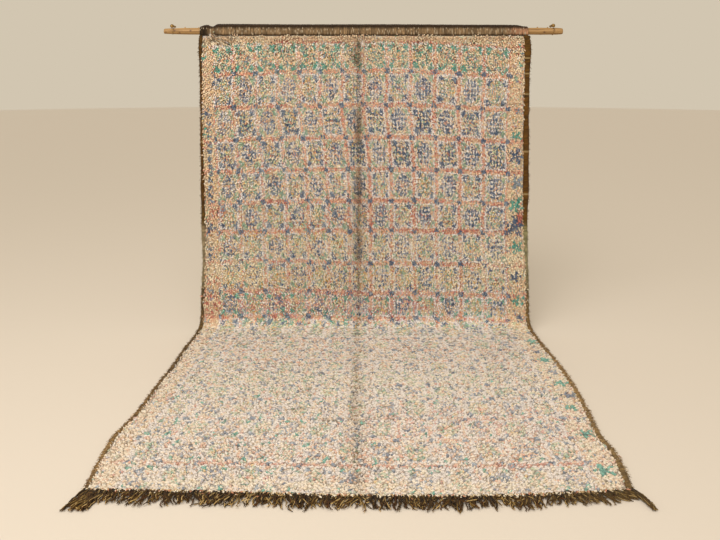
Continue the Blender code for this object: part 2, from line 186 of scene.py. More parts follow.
def hairPiece(name, parts, material):  # one piece from parts, each its points, faces and colours
    faces, shift = [], 0
    for points, partFaces, _ in parts:
        faces += [[corner + shift for corner in face] for face in partFaces]
        shift += len(points)
    points, _, colours = zip(*parts)
    piece = newPiece(name, np.concatenate(points), faces, material)
    paintPiece(piece, "hairColour", np.concatenate(colours))
    return piece


# the rug's path, as the frame has it: down in front of the pole, round and out along the floor

rugShape = {
    "wallY": 0.999, "poleZ": 1.758, "poleToWall": 0.056, "poleRadius": 0.0208,
    "topZ": 1.7312, "frontClearance": 0.0235, "length": 3.446,
    "bendLength": 0.145, "bendTurn": math.radians(78.0),
    "tailLength": 0.36, "tailTurn": math.radians(12.0),
    "thickness": 0.015, "swell": 0.005, "bowStarts": 2.63, "tableStep": 0.001,
}
poleY, poleZ = rugShape["wallY"] - rugShape["poleToWall"], rugShape["poleZ"]

# along, left edge, right edge, left binding, right binding
edgeRows = (
    (0.00, -0.960, 0.973, 0.020, 0.036),
    (0.09, -0.962, 0.980, 0.018, 0.040),
    (0.28, -0.954, 0.970, 0.014, 0.032),
    (0.48, -0.952, 0.967, 0.012, 0.033),
    (0.90, -0.948, 0.965, 0.021, 0.034),
    (1.10, -0.945, 0.957, 0.022, 0.028),
    (1.35, -0.939, 0.961, 0.018, 0.018),
    (1.55, -0.949, 0.967, 0.018, 0.020),
    (1.73, -0.952, 0.972, 0.018, 0.020),
    (1.99, -0.981, 0.998, 0.015, 0.020),
    (2.23, -0.986, 1.012, 0.014, 0.019),
    (2.53, -1.004, 1.014, 0.014, 0.019),
    (2.80, -1.015, 1.000, 0.014, 0.020),
    (3.03, -1.044, 0.985, 0.014, 0.021),
    (3.18, -1.043, 0.998, 0.014, 0.021),
    (3.45, -1.023, 0.970, 0.015, 0.021),
)

# how far the front edge reaches out to the front: across, how far
frontBow = ((-1.05, 0.000), (-0.60, 0.014), (-0.10, 0.040), (0.45, 0.044), (1.02, 0.000))

# low ridges on the floor: along, across, length, width, height, skew
ridges = (
    (2.17, -0.45, 0.09, 0.34, 0.006, 0.10),
    (2.45, 0.35, 0.10, 0.42, 0.007, -0.08),
    (2.71, 0.12, 0.08, 0.36, 0.010, 0.05),
    (2.96, -0.55, 0.08, 0.25, 0.005, 0.12),
)

# the broad fold down the middle, darkened with painted shade: along, how dark
foldShade = (
    (0.00, 0.12), (0.06, 0.33), (0.16, 0.30), (0.24, 0.15), (0.42, 0.18), (0.50, 0.28), (0.70, 0.18),
    (0.84, 0.28), (1.00, 0.28), (1.12, 0.20), (1.20, 0.28), (1.34, 0.16), (1.60, 0.14), (1.80, 0.10),
    (2.30, 0.10), (2.70, 0.13), (3.20, 0.11), (3.45, 0.05),
)

# creases that part the pile: start along and across, end along and across, half width, depth, shade
creases = (
    (0.030, -0.028, 0.160, -0.030, 0.028, 0.006, 1.00),
    (0.160, -0.030, 0.440, -0.026, 0.014, 0.005, 0.60),
    (0.430, -0.028, 0.620, -0.030, 0.028, 0.006, 1.00),
    (0.620, -0.030, 0.790, -0.027, 0.014, 0.005, 0.60),
    (0.780, -0.028, 0.970, -0.032, 0.028, 0.006, 1.00),
    (0.970, -0.032, 1.150, -0.028, 0.016, 0.006, 0.70),
    (1.140, -0.028, 1.300, -0.031, 0.030, 0.007, 1.00),
    (1.300, -0.031, 1.700, -0.028, 0.015, 0.005, 0.65),
    (1.700, -0.028, 2.500, -0.034, 0.028, 0.004, 0.30),
    (2.500, -0.034, 3.430, -0.030, 0.030, 0.004, 0.32),
    (0.405, 0.780, 0.390, 0.915, 0.008, 0.006, 0.85),
    (1.328, 0.757, 1.332, 0.798, 0.007, 0.005, 0.80),
    (0.797, -0.575, 0.931, -0.458, 0.007, 0.005, 0.60),
    (2.845, 0.006, 2.815, 0.164, 0.010, 0.006, 0.70),
    (2.868, -0.194, 2.872, -0.111, 0.008, 0.005, 0.75),
    (2.760, -0.360, 2.745, -0.200, 0.018, 0.004, 0.40),
)


def tracePath():  # along, y, z and turn of the rug's back, at close steps
    step, bend = rugShape["tableStep"], rugShape["bendLength"]
    tail = bend + rugShape["tailLength"]

    def turnAt(distance):
        main = rugShape["bendTurn"] * ease(distance / bend)
        return main + rugShape["tailTurn"] * ease(distance / tail)

    middle = np.arange(step / 2, tail, step)
    forward = np.concatenate([[0.0], np.cumsum(np.sin(turnAt(middle)) * step)])
    drop = np.concatenate([[0.0], np.cumsum(np.cos(turnAt(middle)) * step)])
    turns = turnAt(np.concatenate([[0.0], middle + step / 2]))
    hanging = rugShape["topZ"] - drop[-1]
    backY = poleY - rugShape["frontClearance"]
    along = np.concatenate([[-0.1], hanging + np.arange(len(forward)) * step, [4.0]])
    y = np.concatenate([[backY], backY - forward, [backY - forward[-1] - 4.0 + hanging + tail]])
    z = np.concatenate([[rugShape["topZ"] + 0.1], rugShape["topZ"] - hanging - drop, [0.0]])
    turn = np.concatenate([[0.0], turns, [turns[-1]]])
    return along, y, z, turn, hanging


pathAlong, pathY, pathZ, pathTurn, hangingLength = tracePath()


def stretchedAlong(along, across):  # rows near the front are drawn out to the front edge's bow
    share = (along - rugShape["bowStarts"]) / (rugShape["length"] - rugShape["bowStarts"])
    return along + np.maximum(share, 0.0) * readTable(frontBow, 1, across)


def liftAt(along, across):  # swells of the hanging part and ridges of the lying part
    settle = ease(along / 0.35) * ease((hangingLength - along) / 0.30)
    swell = np.sin(4.6 * across + 1.3 * along + 0.6) + 0.6 * np.sin(9.1 * across - 2.2 * along)
    total = rugShape["swell"] * settle * (1.0 + 0.6 * swell)
    for ridgeAlong, ridgeAcross, length, width, height, skew in ridges:
        side = across - ridgeAcross
        ahead = (along - ridgeAlong - skew * side) / length
        total = total + height * ease(1.0 - abs(ahead)) * ease(1.0 - abs(side) / width)
    return total


def rugDirections(along, across):  # out of the pile side, and on along the rug
    turn = np.interp(stretchedAlong(along, across), pathAlong, pathTurn)
    return xyz(0, -np.cos(turn), np.sin(turn)), xyz(0, -np.sin(turn), -np.cos(turn))


def rugPoints(along, across, out):  # points of the rug, out from its back
    path = stretchedAlong(along, across)
    normal, _ = rugDirections(along, across)
    base = xyz(across, np.interp(path, pathAlong, pathY), np.interp(path, pathAlong, pathZ))
    return base + normal * (out + liftAt(along, across))[..., None]


def pileEdges(along):  # where the pile starts and ends across the rug
    left = readTable(edgeRows, 1, along) + readTable(edgeRows, 3, along)
    right = readTable(edgeRows, 2, along) - readTable(edgeRows, 4, along)
    return left, right


def creaseAt(along, across):  # depth, shade and side of the nearest crease
    depth, shade, side = np.zeros((3,) + np.shape(along))
    for a0, x0, a1, x1, halfWidth, deep, dark in creases:
        da, dx = a1 - a0, x1 - x0
        t = np.clip(((along - a0) * da + (across - x0) * dx) / (da * da + dx * dx), 0.0, 1.0)
        gapA, gapX = along - a0 - da * t, across - x0 - dx * t
        near = ease(1.0 - np.hypot(gapA, gapX) / halfWidth)
        deeper = near * dark > shade
        depth = np.where(deeper, deep * near, depth)
        side = np.where(deeper, np.sign(gapX * da - gapA * dx), side)
        shade = np.where(deeper, near * dark, shade)
    return depth, shade, side


# the chart of the pattern: a grid of bands with flower cells, worked by hand from side to side

yarns = {
    "sand": ("#e4cdb0", "#ddc3a4", "#eadac2", "#d8ba9c", "#efe3cc", "#dbb79a", "#e3c6aa"),
    "cream": ("#efe5d0", "#eadcc4", "#f4ecda", "#e4d4b6", "#f2e8d6", "#ecd2ba"),
    "white": ("#e9e3e0", "#dfdbda", "#f0ebe8", "#d5d0d4", "#e3dddc"),
    "peach": ("#e2b092", "#dca588", "#e8c0a4", "#d69c80", "#e8cab0", "#d9947a"),
    "red": ("#c47260", "#b96555", "#cf836e", "#a9554a", "#d89c84"),
    "rose": ("#dba9a0", "#cd918b", "#e2bdb2", "#c27f7b"),
    "navy": ("#485a7c", "#5c6c8c", "#3e4f72", "#6e7e9a", "#43567c"),
    "slate": ("#7b889f", "#8f9aae", "#6b7992", "#a2aaba"),
    "lilac": ("#a09fb0", "#b2b0be", "#8c8ca4", "#bebcc8", "#7e7e98"),
    "green": ("#90b399", "#82a78f", "#a5bfa5", "#b5c5ab", "#779e86"),
    "pale": ("#abc0a0", "#bac8a8", "#9bb396", "#c6ceb0"),
    "teal": ("#58ac96", "#489d8a", "#70b8a4", "#3f8d80"),
    "ochre": ("#d8b064", "#cca05a", "#e4c27c", "#c2924e", "#e0ba88"),
    "bark": ("#6a563e", "#564632", "#7c664c", "#867658"),
}
yarnNames = list(yarns)

patternChart = {
    # petals of a flower cell, in half cells: across, along, half width, half height
    "petals": ((0.0, -0.56, 0.27, 0.23), (-0.50, -0.02, 0.25, 0.21), (0.50, 0.0, 0.25, 0.21),
               (0.0, 0.54, 0.26, 0.24)),
    # how far the rows droop towards the sides: share of the width, depth
    "droop": ((0.0, 0.024), (0.25, 0.007), (0.5, -0.002), (0.64, -0.001), (0.72, 0.004), (0.80, 0.014),
              (0.875, 0.025), (0.94, 0.031), (1.0, 0.032)),
    "droopBase": -0.004,
    # how far the lower rows climb on the left half, and where that starts along and across
    "climb": (0.021, 1.14, 0.22, 0.47, 0.20),
    # how far the columns stand to the right along the rug, as shares of the width
    "bulge": ((0.0, 0.0), (0.25, -0.002), (0.41, -0.0045), (0.60, 0.0050), (0.785, 0.0066), (0.97, 0.0078),
              (1.14, 0.0082), (1.30, 0.0), (1.50, 0.0)),
    # where the bands run along the rug, with one more past each end
    "bands": (-0.09, 0.040, 0.213, 0.410, 0.598, 0.785, 0.969, 1.142, 1.334, 1.510, 1.660,
              1.860, 2.020, 2.170, 2.340, 2.500, 2.660, 2.860, 3.050, 3.250, 3.470, 3.66),
    # where the columns run, as shares of the width, at the top and below, and the outer limits
    "columnsAbove": (0.030, 0.094, 0.161, 0.229, 0.298, 0.362, 0.433, 0.502,
                     0.573, 0.647, 0.723, 0.799, 0.875, 0.957),
    "columnsBelow": (0.045, 0.114, 0.189, 0.260, 0.325, 0.387, 0.452, 0.517,
                     0.583, 0.654, 0.725, 0.798, 0.873, 0.945),
    "outerLines": (-0.03, 1.04),
    "bandHalf": 0.0130, "firstBandHalf": 0.0062, "columnHalf": 0.0092,
    "outline": 0.0080, "square": 0.0134, "lattice": 0.037,
    # the lying part: where it starts and how softly, the tone that its wool is mixed with, and
    # how much of it goes into green, blue and all other yarns
    "lying": (1.63, 0.18), "lyingTone": "#dbcfc1", "lyingMix": (0.18, 0.23, 0.40),
}

# single marks in the side borders: along, across, half size, yarn
borderMarks = (
    (0.049, 0.917, 0.014, "teal"), (0.172, 0.917, 0.016, "teal"), (0.110, 0.925, 0.010, "slate"),
    (0.248, 0.893, 0.017, "green"), (0.277, 0.917, 0.010, "red"), (0.440, 0.905, 0.020, "slate"),
    (0.590, 0.890, 0.030, "teal"), (0.707, 0.892, 0.044, "navy"), (0.856, 0.892, 0.042, "slate"),
    (0.954, 0.908, 0.018, "teal"), (0.995, 0.889, 0.040, "teal"), (1.115, 0.880, 0.058, "navy"),
    (1.236, 0.892, 0.038, "teal"), (1.410, 0.885, 0.032, "navy"), (1.551, 0.905, 0.035, "teal"),
    (1.650, 0.903, 0.026, "navy"), (0.463, -0.922, 0.024, "navy"), (0.426, -0.930, 0.012, "slate"),
    (0.545, -0.922, 0.015, "teal"), (0.578, -0.922, 0.015, "teal"), (0.230, -0.876, 0.018, "slate"),
    (1.131, -0.888, 0.030, "navy"), (1.240, -0.890, 0.020, "slate"), (1.290, -0.890, 0.022, "navy"),
    (1.486, -0.888, 0.024, "slate"), (1.540, -0.890, 0.016, "lilac"), (0.285, -0.880, 0.014, "navy"),
    (1.897, 0.938, 0.030, "teal"), (2.040, 0.940, 0.024, "navy"), (2.159, 0.943, 0.030, "teal"),
    (2.340, 0.948, 0.024, "slate"), (2.468, 0.951, 0.032, "teal"), (2.612, 0.955, 0.026, "navy"),
    (2.746, 0.938, 0.032, "teal"), (2.860, 0.945, 0.026, "slate"), (3.005, 0.925, 0.034, "teal"),
    (3.308, 0.908, 0.036, "teal"), (0.130, -0.930, 0.014, "teal"), (0.062, -0.930, 0.012, "green"),
)

# washes of changed wool: along, across, half length, half width, yarn, chance
washes = (
    (0.010, 0.00, 0.030, 1.20, "sand", 0.85),
    (1.050, -0.865, 0.050, 0.060, "red", 0.24),
    (1.430, -0.875, 0.045, 0.050, "red", 0.35),
    (1.565, -0.885, 0.065, 0.055, "red", 0.30),
    (1.068, 0.914, 0.050, 0.024, "red", 0.95),
    (1.142, 0.46, 0.015, 0.250, "red", 0.36),
    (0.969, -0.51, 0.016, 0.080, "red", 0.40),
    (1.560, -0.20, 0.085, 0.700, "rose", 0.18),
    (1.385, -0.73, 0.080, 0.190, "cream", 0.50),
    (1.330, 0.80, 0.090, 0.180, "cream", 0.45),
    (1.180, -0.30, 0.040, 0.500, "ochre", 0.12),
    (0.300, -0.90, 0.220, 0.060, "sand", 0.45),
    (1.240, 0.00, 0.085, 1.100, "cream", 0.20),
    (1.420, 0.00, 0.080, 1.100, "cream", 0.26),
    (1.420, 0.00, 0.080, 1.100, "ochre", 0.06),
    (1.060, 0.05, 0.075, 0.550, "red", 0.07),
    (2.050, 0.00, 0.230, 1.100, "peach", 0.12),
    (2.480, 0.00, 0.200, 1.100, "pale", 0.10),
    (2.420, 0.10, 0.110, 1.100, "cream", 0.22),
    (2.900, 0.45, 0.170, 0.600, "rose", 0.12),
    (3.250, 0.00, 0.013, 1.000, "red", 0.40),
    (2.862, -0.02, 0.010, 0.300, "bark", 0.30),
    (1.740, 0.00, 0.100, 1.100, "pale", 0.08),
    (3.400, 0.00, 0.045, 1.100, "cream", 0.60),
    (3.130, 0.10, 0.130, 0.900, "peach", 0.16),
)


def madeOf(family, *names):  # where the yarn is one of these
    return np.isin(family, [yarnNames.index(name) for name in names])


def lyingShare(along):  # from 0 on the hanging part to 1 on the lying part
    start, length = patternChart["lying"]
    return ease((along - start) / length)


def findCells(along, across, fade):  # each place's row and column, and where it is in its cell
    left, right = pileEdges(along)
    width = right - left
    share = (across - left) / width
    settle = 1.0 - 0.55 * ease(along / 1.5)
    droop = readTable(patternChart["droop"], 1, share) * settle * (1 - fade) + patternChart["droopBase"]
    climb, climbAlong, climbLong, climbShare, climbWide = patternChart["climb"]
    climb = climb * ease((along - climbAlong) / climbLong) * ease((climbShare - share) / climbWide)
    droop = droop - climb * (1 - fade)
    wobble = 0.003 * np.sin(31 * across + 9 * along) + 0.002 * np.sin(67 * across - 21 * along)
    level = along - droop - wobble
    bands = np.array(patternChart["bands"])
    row = np.clip(np.searchsorted(bands, level, side="right") - 1, 0, len(bands) - 2)
    fromBand = np.minimum(level - bands[row], bands[row + 1] - level)
    cy = (2 * level - bands[row] - bands[row + 1]) / 2
    cy = cy / ((bands[row + 1] - bands[row]) / 2 - patternChart["bandHalf"])

    above, below = np.array(patternChart["columnsAbove"]), np.array(patternChart["columnsBelow"])
    blend = np.clip(along / 1.4, 0.0, 1.0)[:, None]
    bulge = readTable(patternChart["bulge"], 1, along) * np.exp(-((share - 0.48) / 0.33) ** 2)
    drift = 0.0014 * np.sin(17 * along + 5 * row) + bulge
    lines = above + (below - above) * blend + drift[:, None]
    lines = np.pad(lines, ((0, 0), (1, 1)), constant_values=((0, 0), patternChart["outerLines"]))
    column = np.clip((share[:, None] > lines).sum(axis=1) - 1, 0, lines.shape[1] - 2)
    pick = np.arange(len(along))
    lineLeft, lineRight = lines[pick, column], lines[pick, column + 1]
    fromLine = np.minimum(share - lineLeft, lineRight - share) * width
    cx = (2 * share - lineLeft - lineRight) * width / 2
    cx = cx / ((lineRight - lineLeft) * width / 2 - patternChart["columnHalf"])
    return row, column, level, share, fromBand, fromLine, cx, cy


def chartYarns(along, across):  # which yarn is knotted at each place
    n = len(along)
    fade = lyingShare(along)  # the lying part shows the pattern more mixed
    calm = 1 - 0.5 * fade
    front = ease((along - 2.40) / 0.65)  # and again clearer near the fringe
    rightPart = ease((across + 0.30) / 0.5)
    row, column, level, share, fromBand, fromLine, cx, cy = findCells(along, across, fade)
    inside = (column >= 1) & (column <= 13) & (row >= 1)
    firstRow, starRow = inside & (row == 1), (row == 3) | (row == 4)
    lit = inside & ((row + column) % 2 == 1) & (row > 1)
    plain = inside & ((row + column) % 2 == 0) & (row > 1)
    family = np.full(n, yarnNames.index("sand"))

    def knot(where, **chances):  # each yarn in turn takes its chance of the places
        for yarn, chance in chances.items():
            family[where & (dice.random(n) < chance)] = yarnNames.index(yarn)

    # ground wool, with odd strands of every colour in it
    knot(True, peach=0.10, cream=0.16, ochre=0.03)
    knot(fade > 0.01, cream=0.30 * fade - 0.02 * front)
    knot(row >= 1, green=0.010, slate=0.014, white=0.04, lilac=0.014, red=0.008, pale=0.018, bark=0.014)
    knot(fade > 0.5, slate=0.035 * (1 - front), ochre=0.035 * (1 - front))

    # centres: an oval flower, a fine lattice of small marks with four stronger petals in it
    cellNumber = 12.9898 * row + 78.233 * column
    cellChance = scatter(cellNumber)
    oval = np.hypot(cx / 0.76, cy / 0.84) < 1.0
    turn = 2 * math.pi / patternChart["lattice"]
    slant = (0.55 + 0.3 * cellChance) * level
    lattice = np.sin(turn * (across + slant) + 9 * cellChance)
    lattice = lattice * np.sin(turn * (across - slant) - 5 * cellChance)
    marks, gaps = oval & (lattice > 0.06), oval & (lattice < -0.12)
    dark = (0.60 + 0.36 * rightPart) * np.where(row < 7, 1.0, 0.88)
    knot(firstRow & oval, bark=0.07, slate=0.12)
    knot(firstRow & marks, green=0.34, teal=0.20)
    knot(lit & oval, pale=0.22)
    knot(lit & marks, green=0.24, lilac=0.16, ochre=0.12 * calm)
    knot(lit & gaps, ochre=0.12 * calm, white=0.36)
    knot(lit & marks & (row < 8), slate=0.27 * dark)
    knot(lit & starRow & marks, navy=0.66 * dark)
    knot(plain & oval, lilac=0.26)
    knot(plain & marks, slate=0.74 * dark * calm, navy=0.42 * dark * calm)
    knot(plain & gaps, white=0.52 + 0.24 * rightPart)
    for number, (petalX, petalY, halfWide, halfTall) in enumerate(patternChart["petals"]):
        chance = scatter(cellNumber + 37.7 * number)
        shiftX, shiftY = 0.12 * (chance - 0.5), 0.14 * (chance * 7 % 1 - 0.5)
        reach = np.hypot((cx - petalX - shiftX) / halfWide, (cy - petalY - shiftY) / halfTall)
        petal = (reach < 0.75 + 0.35 * chance) & (chance > 0.25) & (lattice > -0.3)
        knot(firstRow & petal, green=0.30)
        knot(lit & petal, green=0.20)
        knot(lit & starRow & petal, navy=0.55)
        knot(plain & petal & (chance > 0.66), navy=0.55 * calm)
        knot(plain & petal & (chance <= 0.66), slate=0.50 * calm)
    heart = np.hypot(cx / 0.18, cy / 0.13) < 1.0
    knot(heart & (firstRow | plain), peach=0.5)
    knot(heart & lit, red=0.25)

    # corner marks
    corner = (abs(cx) > 0.38) & (abs(cy) > 0.42)
    corner = corner & (abs(cx) + 0.85 * abs(cy) > np.where(lit, 1.04, 1.12))
    knot(firstRow & corner, green=0.80, teal=0.50)
    knot(lit & corner, slate=0.92, navy=0.62 * dark, white=0.14)
    knot(plain & corner, green=0.72, pale=0.24)
    knot((row == 9) & (lit | plain) & corner, green=0.75, teal=0.40)
    knot((row > 9) & plain & corner, teal=0.22 + 0.28 * front)

    # outlines and bands
    outline = patternChart["outline"] * (1 + 0.9 * fade)
    halo = 0.003 * rightPart * ease((along - 0.20) / 0.06)
    later = 0.12 * (row > 6) + 0.20 * fade
    byLine = inside & (fromLine < patternChart["columnHalf"] + outline + halo)
    knot(byLine, white=np.where(lit, 0.92, 0.42 + 0.18 * rightPart + later))
    byBand = inside & (fromBand < patternChart["bandHalf"] + outline + halo)
    knot(byBand, white=np.where(lit, 0.85, 0.32 + 0.18 * rightPart + later))
    redness = 0.5 + 0.5 * np.sin(5.1 * row + 2.3 * across) * np.sin(3.3 * across + 1.7 * row + 1)
    firstBand = (abs(level - patternChart["bands"][1]) < 0.09) & (along < 0.12)
    bandHalf = np.where(firstBand, patternChart["firstBandHalf"], patternChart["bandHalf"])
    bandHalf = np.where(firstBand & (across < -0.56), 0.0, bandHalf)
    band = (fromBand < bandHalf) & (along > 0.02)
    upright = inside & (fromLine < patternChart["columnHalf"])
    faint = 0.55 * ease((-0.06 - across) / 0.20) + 0.25 * ease((-0.28 - across) / 0.12)
    faint = np.maximum(faint, 0.60 * ease((along - 1.13) / 0.06)) * np.where(row == 8, 0.3, 1.0)
    firstUpright = 0.2 + 0.6 * ease((across - 0.02) / 0.12)
    lanes = ((band, 1 - 0.4 * faint), (upright & (row == 1), firstUpright),
             (upright & (row > 1), 1 - faint))
    for lane, redShare in lanes:
        knot(lane, peach=0.86 * (0.35 + 0.65 * redShare) * (1 - 0.40 * fade),
             red=(0.04 + 0.24 * redness) * redShare * (1 - 0.65 * fade), rose=0.16 * calm, sand=0.24)
    cross = (fromLine < patternChart["square"]) & (fromBand < patternChart["square"])
    cross = cross & (level > 0.15) & (column >= 1)
    knot(cross, slate=0.95, navy=0.66 * dark)
    knot(madeOf(family, "navy") & (fade > 0.3), slate=0.45)

    # side borders, and the first rows under the heading
    for markAlong, markAcross, size, yarn in borderMarks:
        da, dx = along - markAlong, across - markAcross
        arms = np.cos(2.5 * np.arctan2(da, dx) + markAlong * 9) ** 2
        star = np.hypot(da, dx) < size * (0.36 + 0.80 * arms) * (1 + 0.15 * fade)
        knot(star, **{yarn: 0.80 + 0.14 * fade})
    chain = (abs(share - 0.020) < 0.007) & (abs(along - 0.70) < 0.28) & (np.sin(150 * along) > -0.4)
    knot(chain, slate=0.60, navy=0.25)
    knot(firstBand & (fromBand < 0.0045) & (across > -0.53), red=0.34)
    knot((along < 0.05) & (across < -0.79), cream=0.60)
    knot(along < 0.05, white=0.10, pale=0.06)
    knot(along < 0.12, bark=0.03)

    for washAlong, washAcross, halfLength, halfWidth, yarn, chance in washes:
        near = np.maximum(abs(along - washAlong) / halfLength, abs(across - washAcross) / halfWidth)
        soft = np.clip((1.0 - near) / 0.35, 0.0, 1.0)
        strong = madeOf(family, "navy", "teal", "green")
        knot(soft > 0, **{yarn: chance * soft * np.where(strong, 0.35, 1.0)})
    light = madeOf(family, "sand", "peach", "cream") & (fade > 0.01)
    knot(light, cream=0.18 * fade, white=0.05 * fade)
    return family


def dyeYarns(family, along):  # each knot's own shade of its yarn, paler where the rug lies, with painted light and shade along the rug
    n = len(along)
    fade = lyingShare(along)
    colours = np.zeros((n, 3))
    for number, name in enumerate(yarnNames):
        where = np.flatnonzero(family == number)
        colours[where] = pickShades(yarns[name], len(where), 1.35)
    green, blue = madeOf(family, "teal", "green"), madeOf(family, "navy", "slate")
    warm = madeOf(family, "sand", "cream", "ochre", "pale")
    mix = np.select([green, blue], patternChart["lyingMix"][:2], patternChart["lyingMix"][2])
    colours += (shadesOf(patternChart["lyingTone"]) - colours) * (mix * fade)[:, None]
    # painted light and shade: darker where the rug lies, lighter towards the front, lighter on the last
    # hanging rows above the bend and a little darker on the hanging part from along 0.95, with each knot's
    # own random tone on top
    lightAndTone = 1.005 - 0.110 * fade + 0.070 * ease((along - 1.75) / 1.3)
    lightAndTone = lightAndTone + 0.035 * ease((along - 1.46) / 0.06) * (1 - fade)
    lightAndTone = lightAndTone + 0.13 * dice.random(n)
    lightAndTone = lightAndTone * np.where(dice.random(n) < 0.085 * fade, 0.66, 1.0)  # painted shade: a few tufts on the floor darker, as strands sunk between the tufts would be in shadow
    lightAndTone = lightAndTone - 0.02 * ease((along - 0.95) / 0.1) * (1 - fade)
    colours *= lightAndTone[:, None]
    colours[:, 2] *= 1 - 0.05 * warm * (1 - fade)
    colours[:, 1] *= 1 + 0.06 * blue
    colours[:, 2] *= 1 + 0.08 * green + 0.05 * blue * fade
    return colours


def knotColours(along, across):
    return dyeYarns(chartYarns(along, across), along)


# materials

def woolPileMaterial():
    # hand-spun wool pile, matt with a soft sheen at grazing angles and fine fibre streaks
    material, tree, shader = startMaterial("hand-spun wool pile", 0.92, sheen=0.25, gloss=0.2)
    shader.inputs["Sheen Roughness"].default_value = 0.6
    spot = addNode(tree, "ShaderNodeTexCoord")
    fibre = addNode(tree, "ShaderNodeTexNoise", {"Scale": 420.0, "Detail": 2.0},
                    {"Vector": spot.outputs["Object"]})  # fibre bundles about 2.5 mm across
    paintFibres(tree, shader, "tuftColour", fibre.outputs["Fac"], {"To Min": 0.86, "To Max": 1.14},
                {"Strength": 0.35, "Distance": 0.0015})
    return material


def knottedBackMaterial():
    # the rug's back: tight rows of wool knots with weft lines between, dull and a little felted
    material, tree, shader = startMaterial("knotted wool back", 0.95, sheen=0.15, gloss=0.2)
    spot = addNode(tree, "ShaderNodeUVMap", {"uv_map": "rugPlace"})
    parts = addNode(tree, "ShaderNodeSeparateXYZ", links={"Vector": spot.outputs["UV"]})
    knots = []
    for axis, pitch in (("X", 0.0085), ("Y", 0.0086)):  # knot spacing, in metres
        wave = addNode(tree, "ShaderNodeMath", {"operation": "MULTIPLY", 1: math.pi / pitch},
                       {0: parts.outputs[axis]})
        sine = addNode(tree, "ShaderNodeMath", {"operation": "SINE"}, {0: wave.outputs["Value"]})
        knots.append(addNode(tree, "ShaderNodeMath", {"operation": "ABSOLUTE"},
                             {0: sine.outputs["Value"]}))
    knot = addNode(tree, "ShaderNodeMath", {"operation": "MULTIPLY"},
                   {0: knots[0].outputs["Value"], 1: knots[1].outputs["Value"]})
    place = addNode(tree, "ShaderNodeTexCoord")
    felt = addNode(tree, "ShaderNodeTexNoise", {"Scale": 260.0, "Detail": 3.0},
                   {"Vector": place.outputs["Object"]})  # felted patches about 4 mm across
    height = addNode(tree, "ShaderNodeMath", {"operation": "ADD"},
                     {0: knot.outputs["Value"], 1: felt.outputs["Fac"]})
    # painted shade in the dips between the knots and their rows, with the felt's random tone; the same
    # height raises the bump
    paintFibres(tree, shader, "knotColour", height.outputs["Value"],
                {"From Min": 0.3, "From Max": 1.5, "To Min": 0.62, "To Max": 1.05},
                {"Strength": 0.6, "Distance": 0.002})
    return material


def hairMaterial(name, scale, roughness=0.85):
    # spun goat hair, coarse and dark, with a dry gloss along the strands
    material, tree, shader = startMaterial(name, roughness, sheen=0.05, gloss=0.2)
    spot = addNode(tree, "ShaderNodeTexCoord")
    fibre = addNode(tree, "ShaderNodeTexNoise", {"Scale": scale, "Detail": 3.0},
                    {"Vector": spot.outputs["Object"]})
    paintFibres(tree, shader, "hairColour", fibre.outputs["Fac"], {"To Min": 0.70, "To Max": 1.30},
                {"Strength": 0.5, "Distance": 0.001})
    return material


# the ground cloth under the pile, with the knotted back that shows from behind

groundCloth = {
    "thickness": 0.0048, "columns": 200, "rows": 360, "frontStep": 4,
    # how deep a crease goes into the cloth at most; painted shade on the wool between the tufts where the
    # rug hangs, and how much lighter it is where the rug lies; how dark the back is
    "creaseDepth": 0.003, "frontShade": (0.84, 0.20), "backShade": 0.85,
}


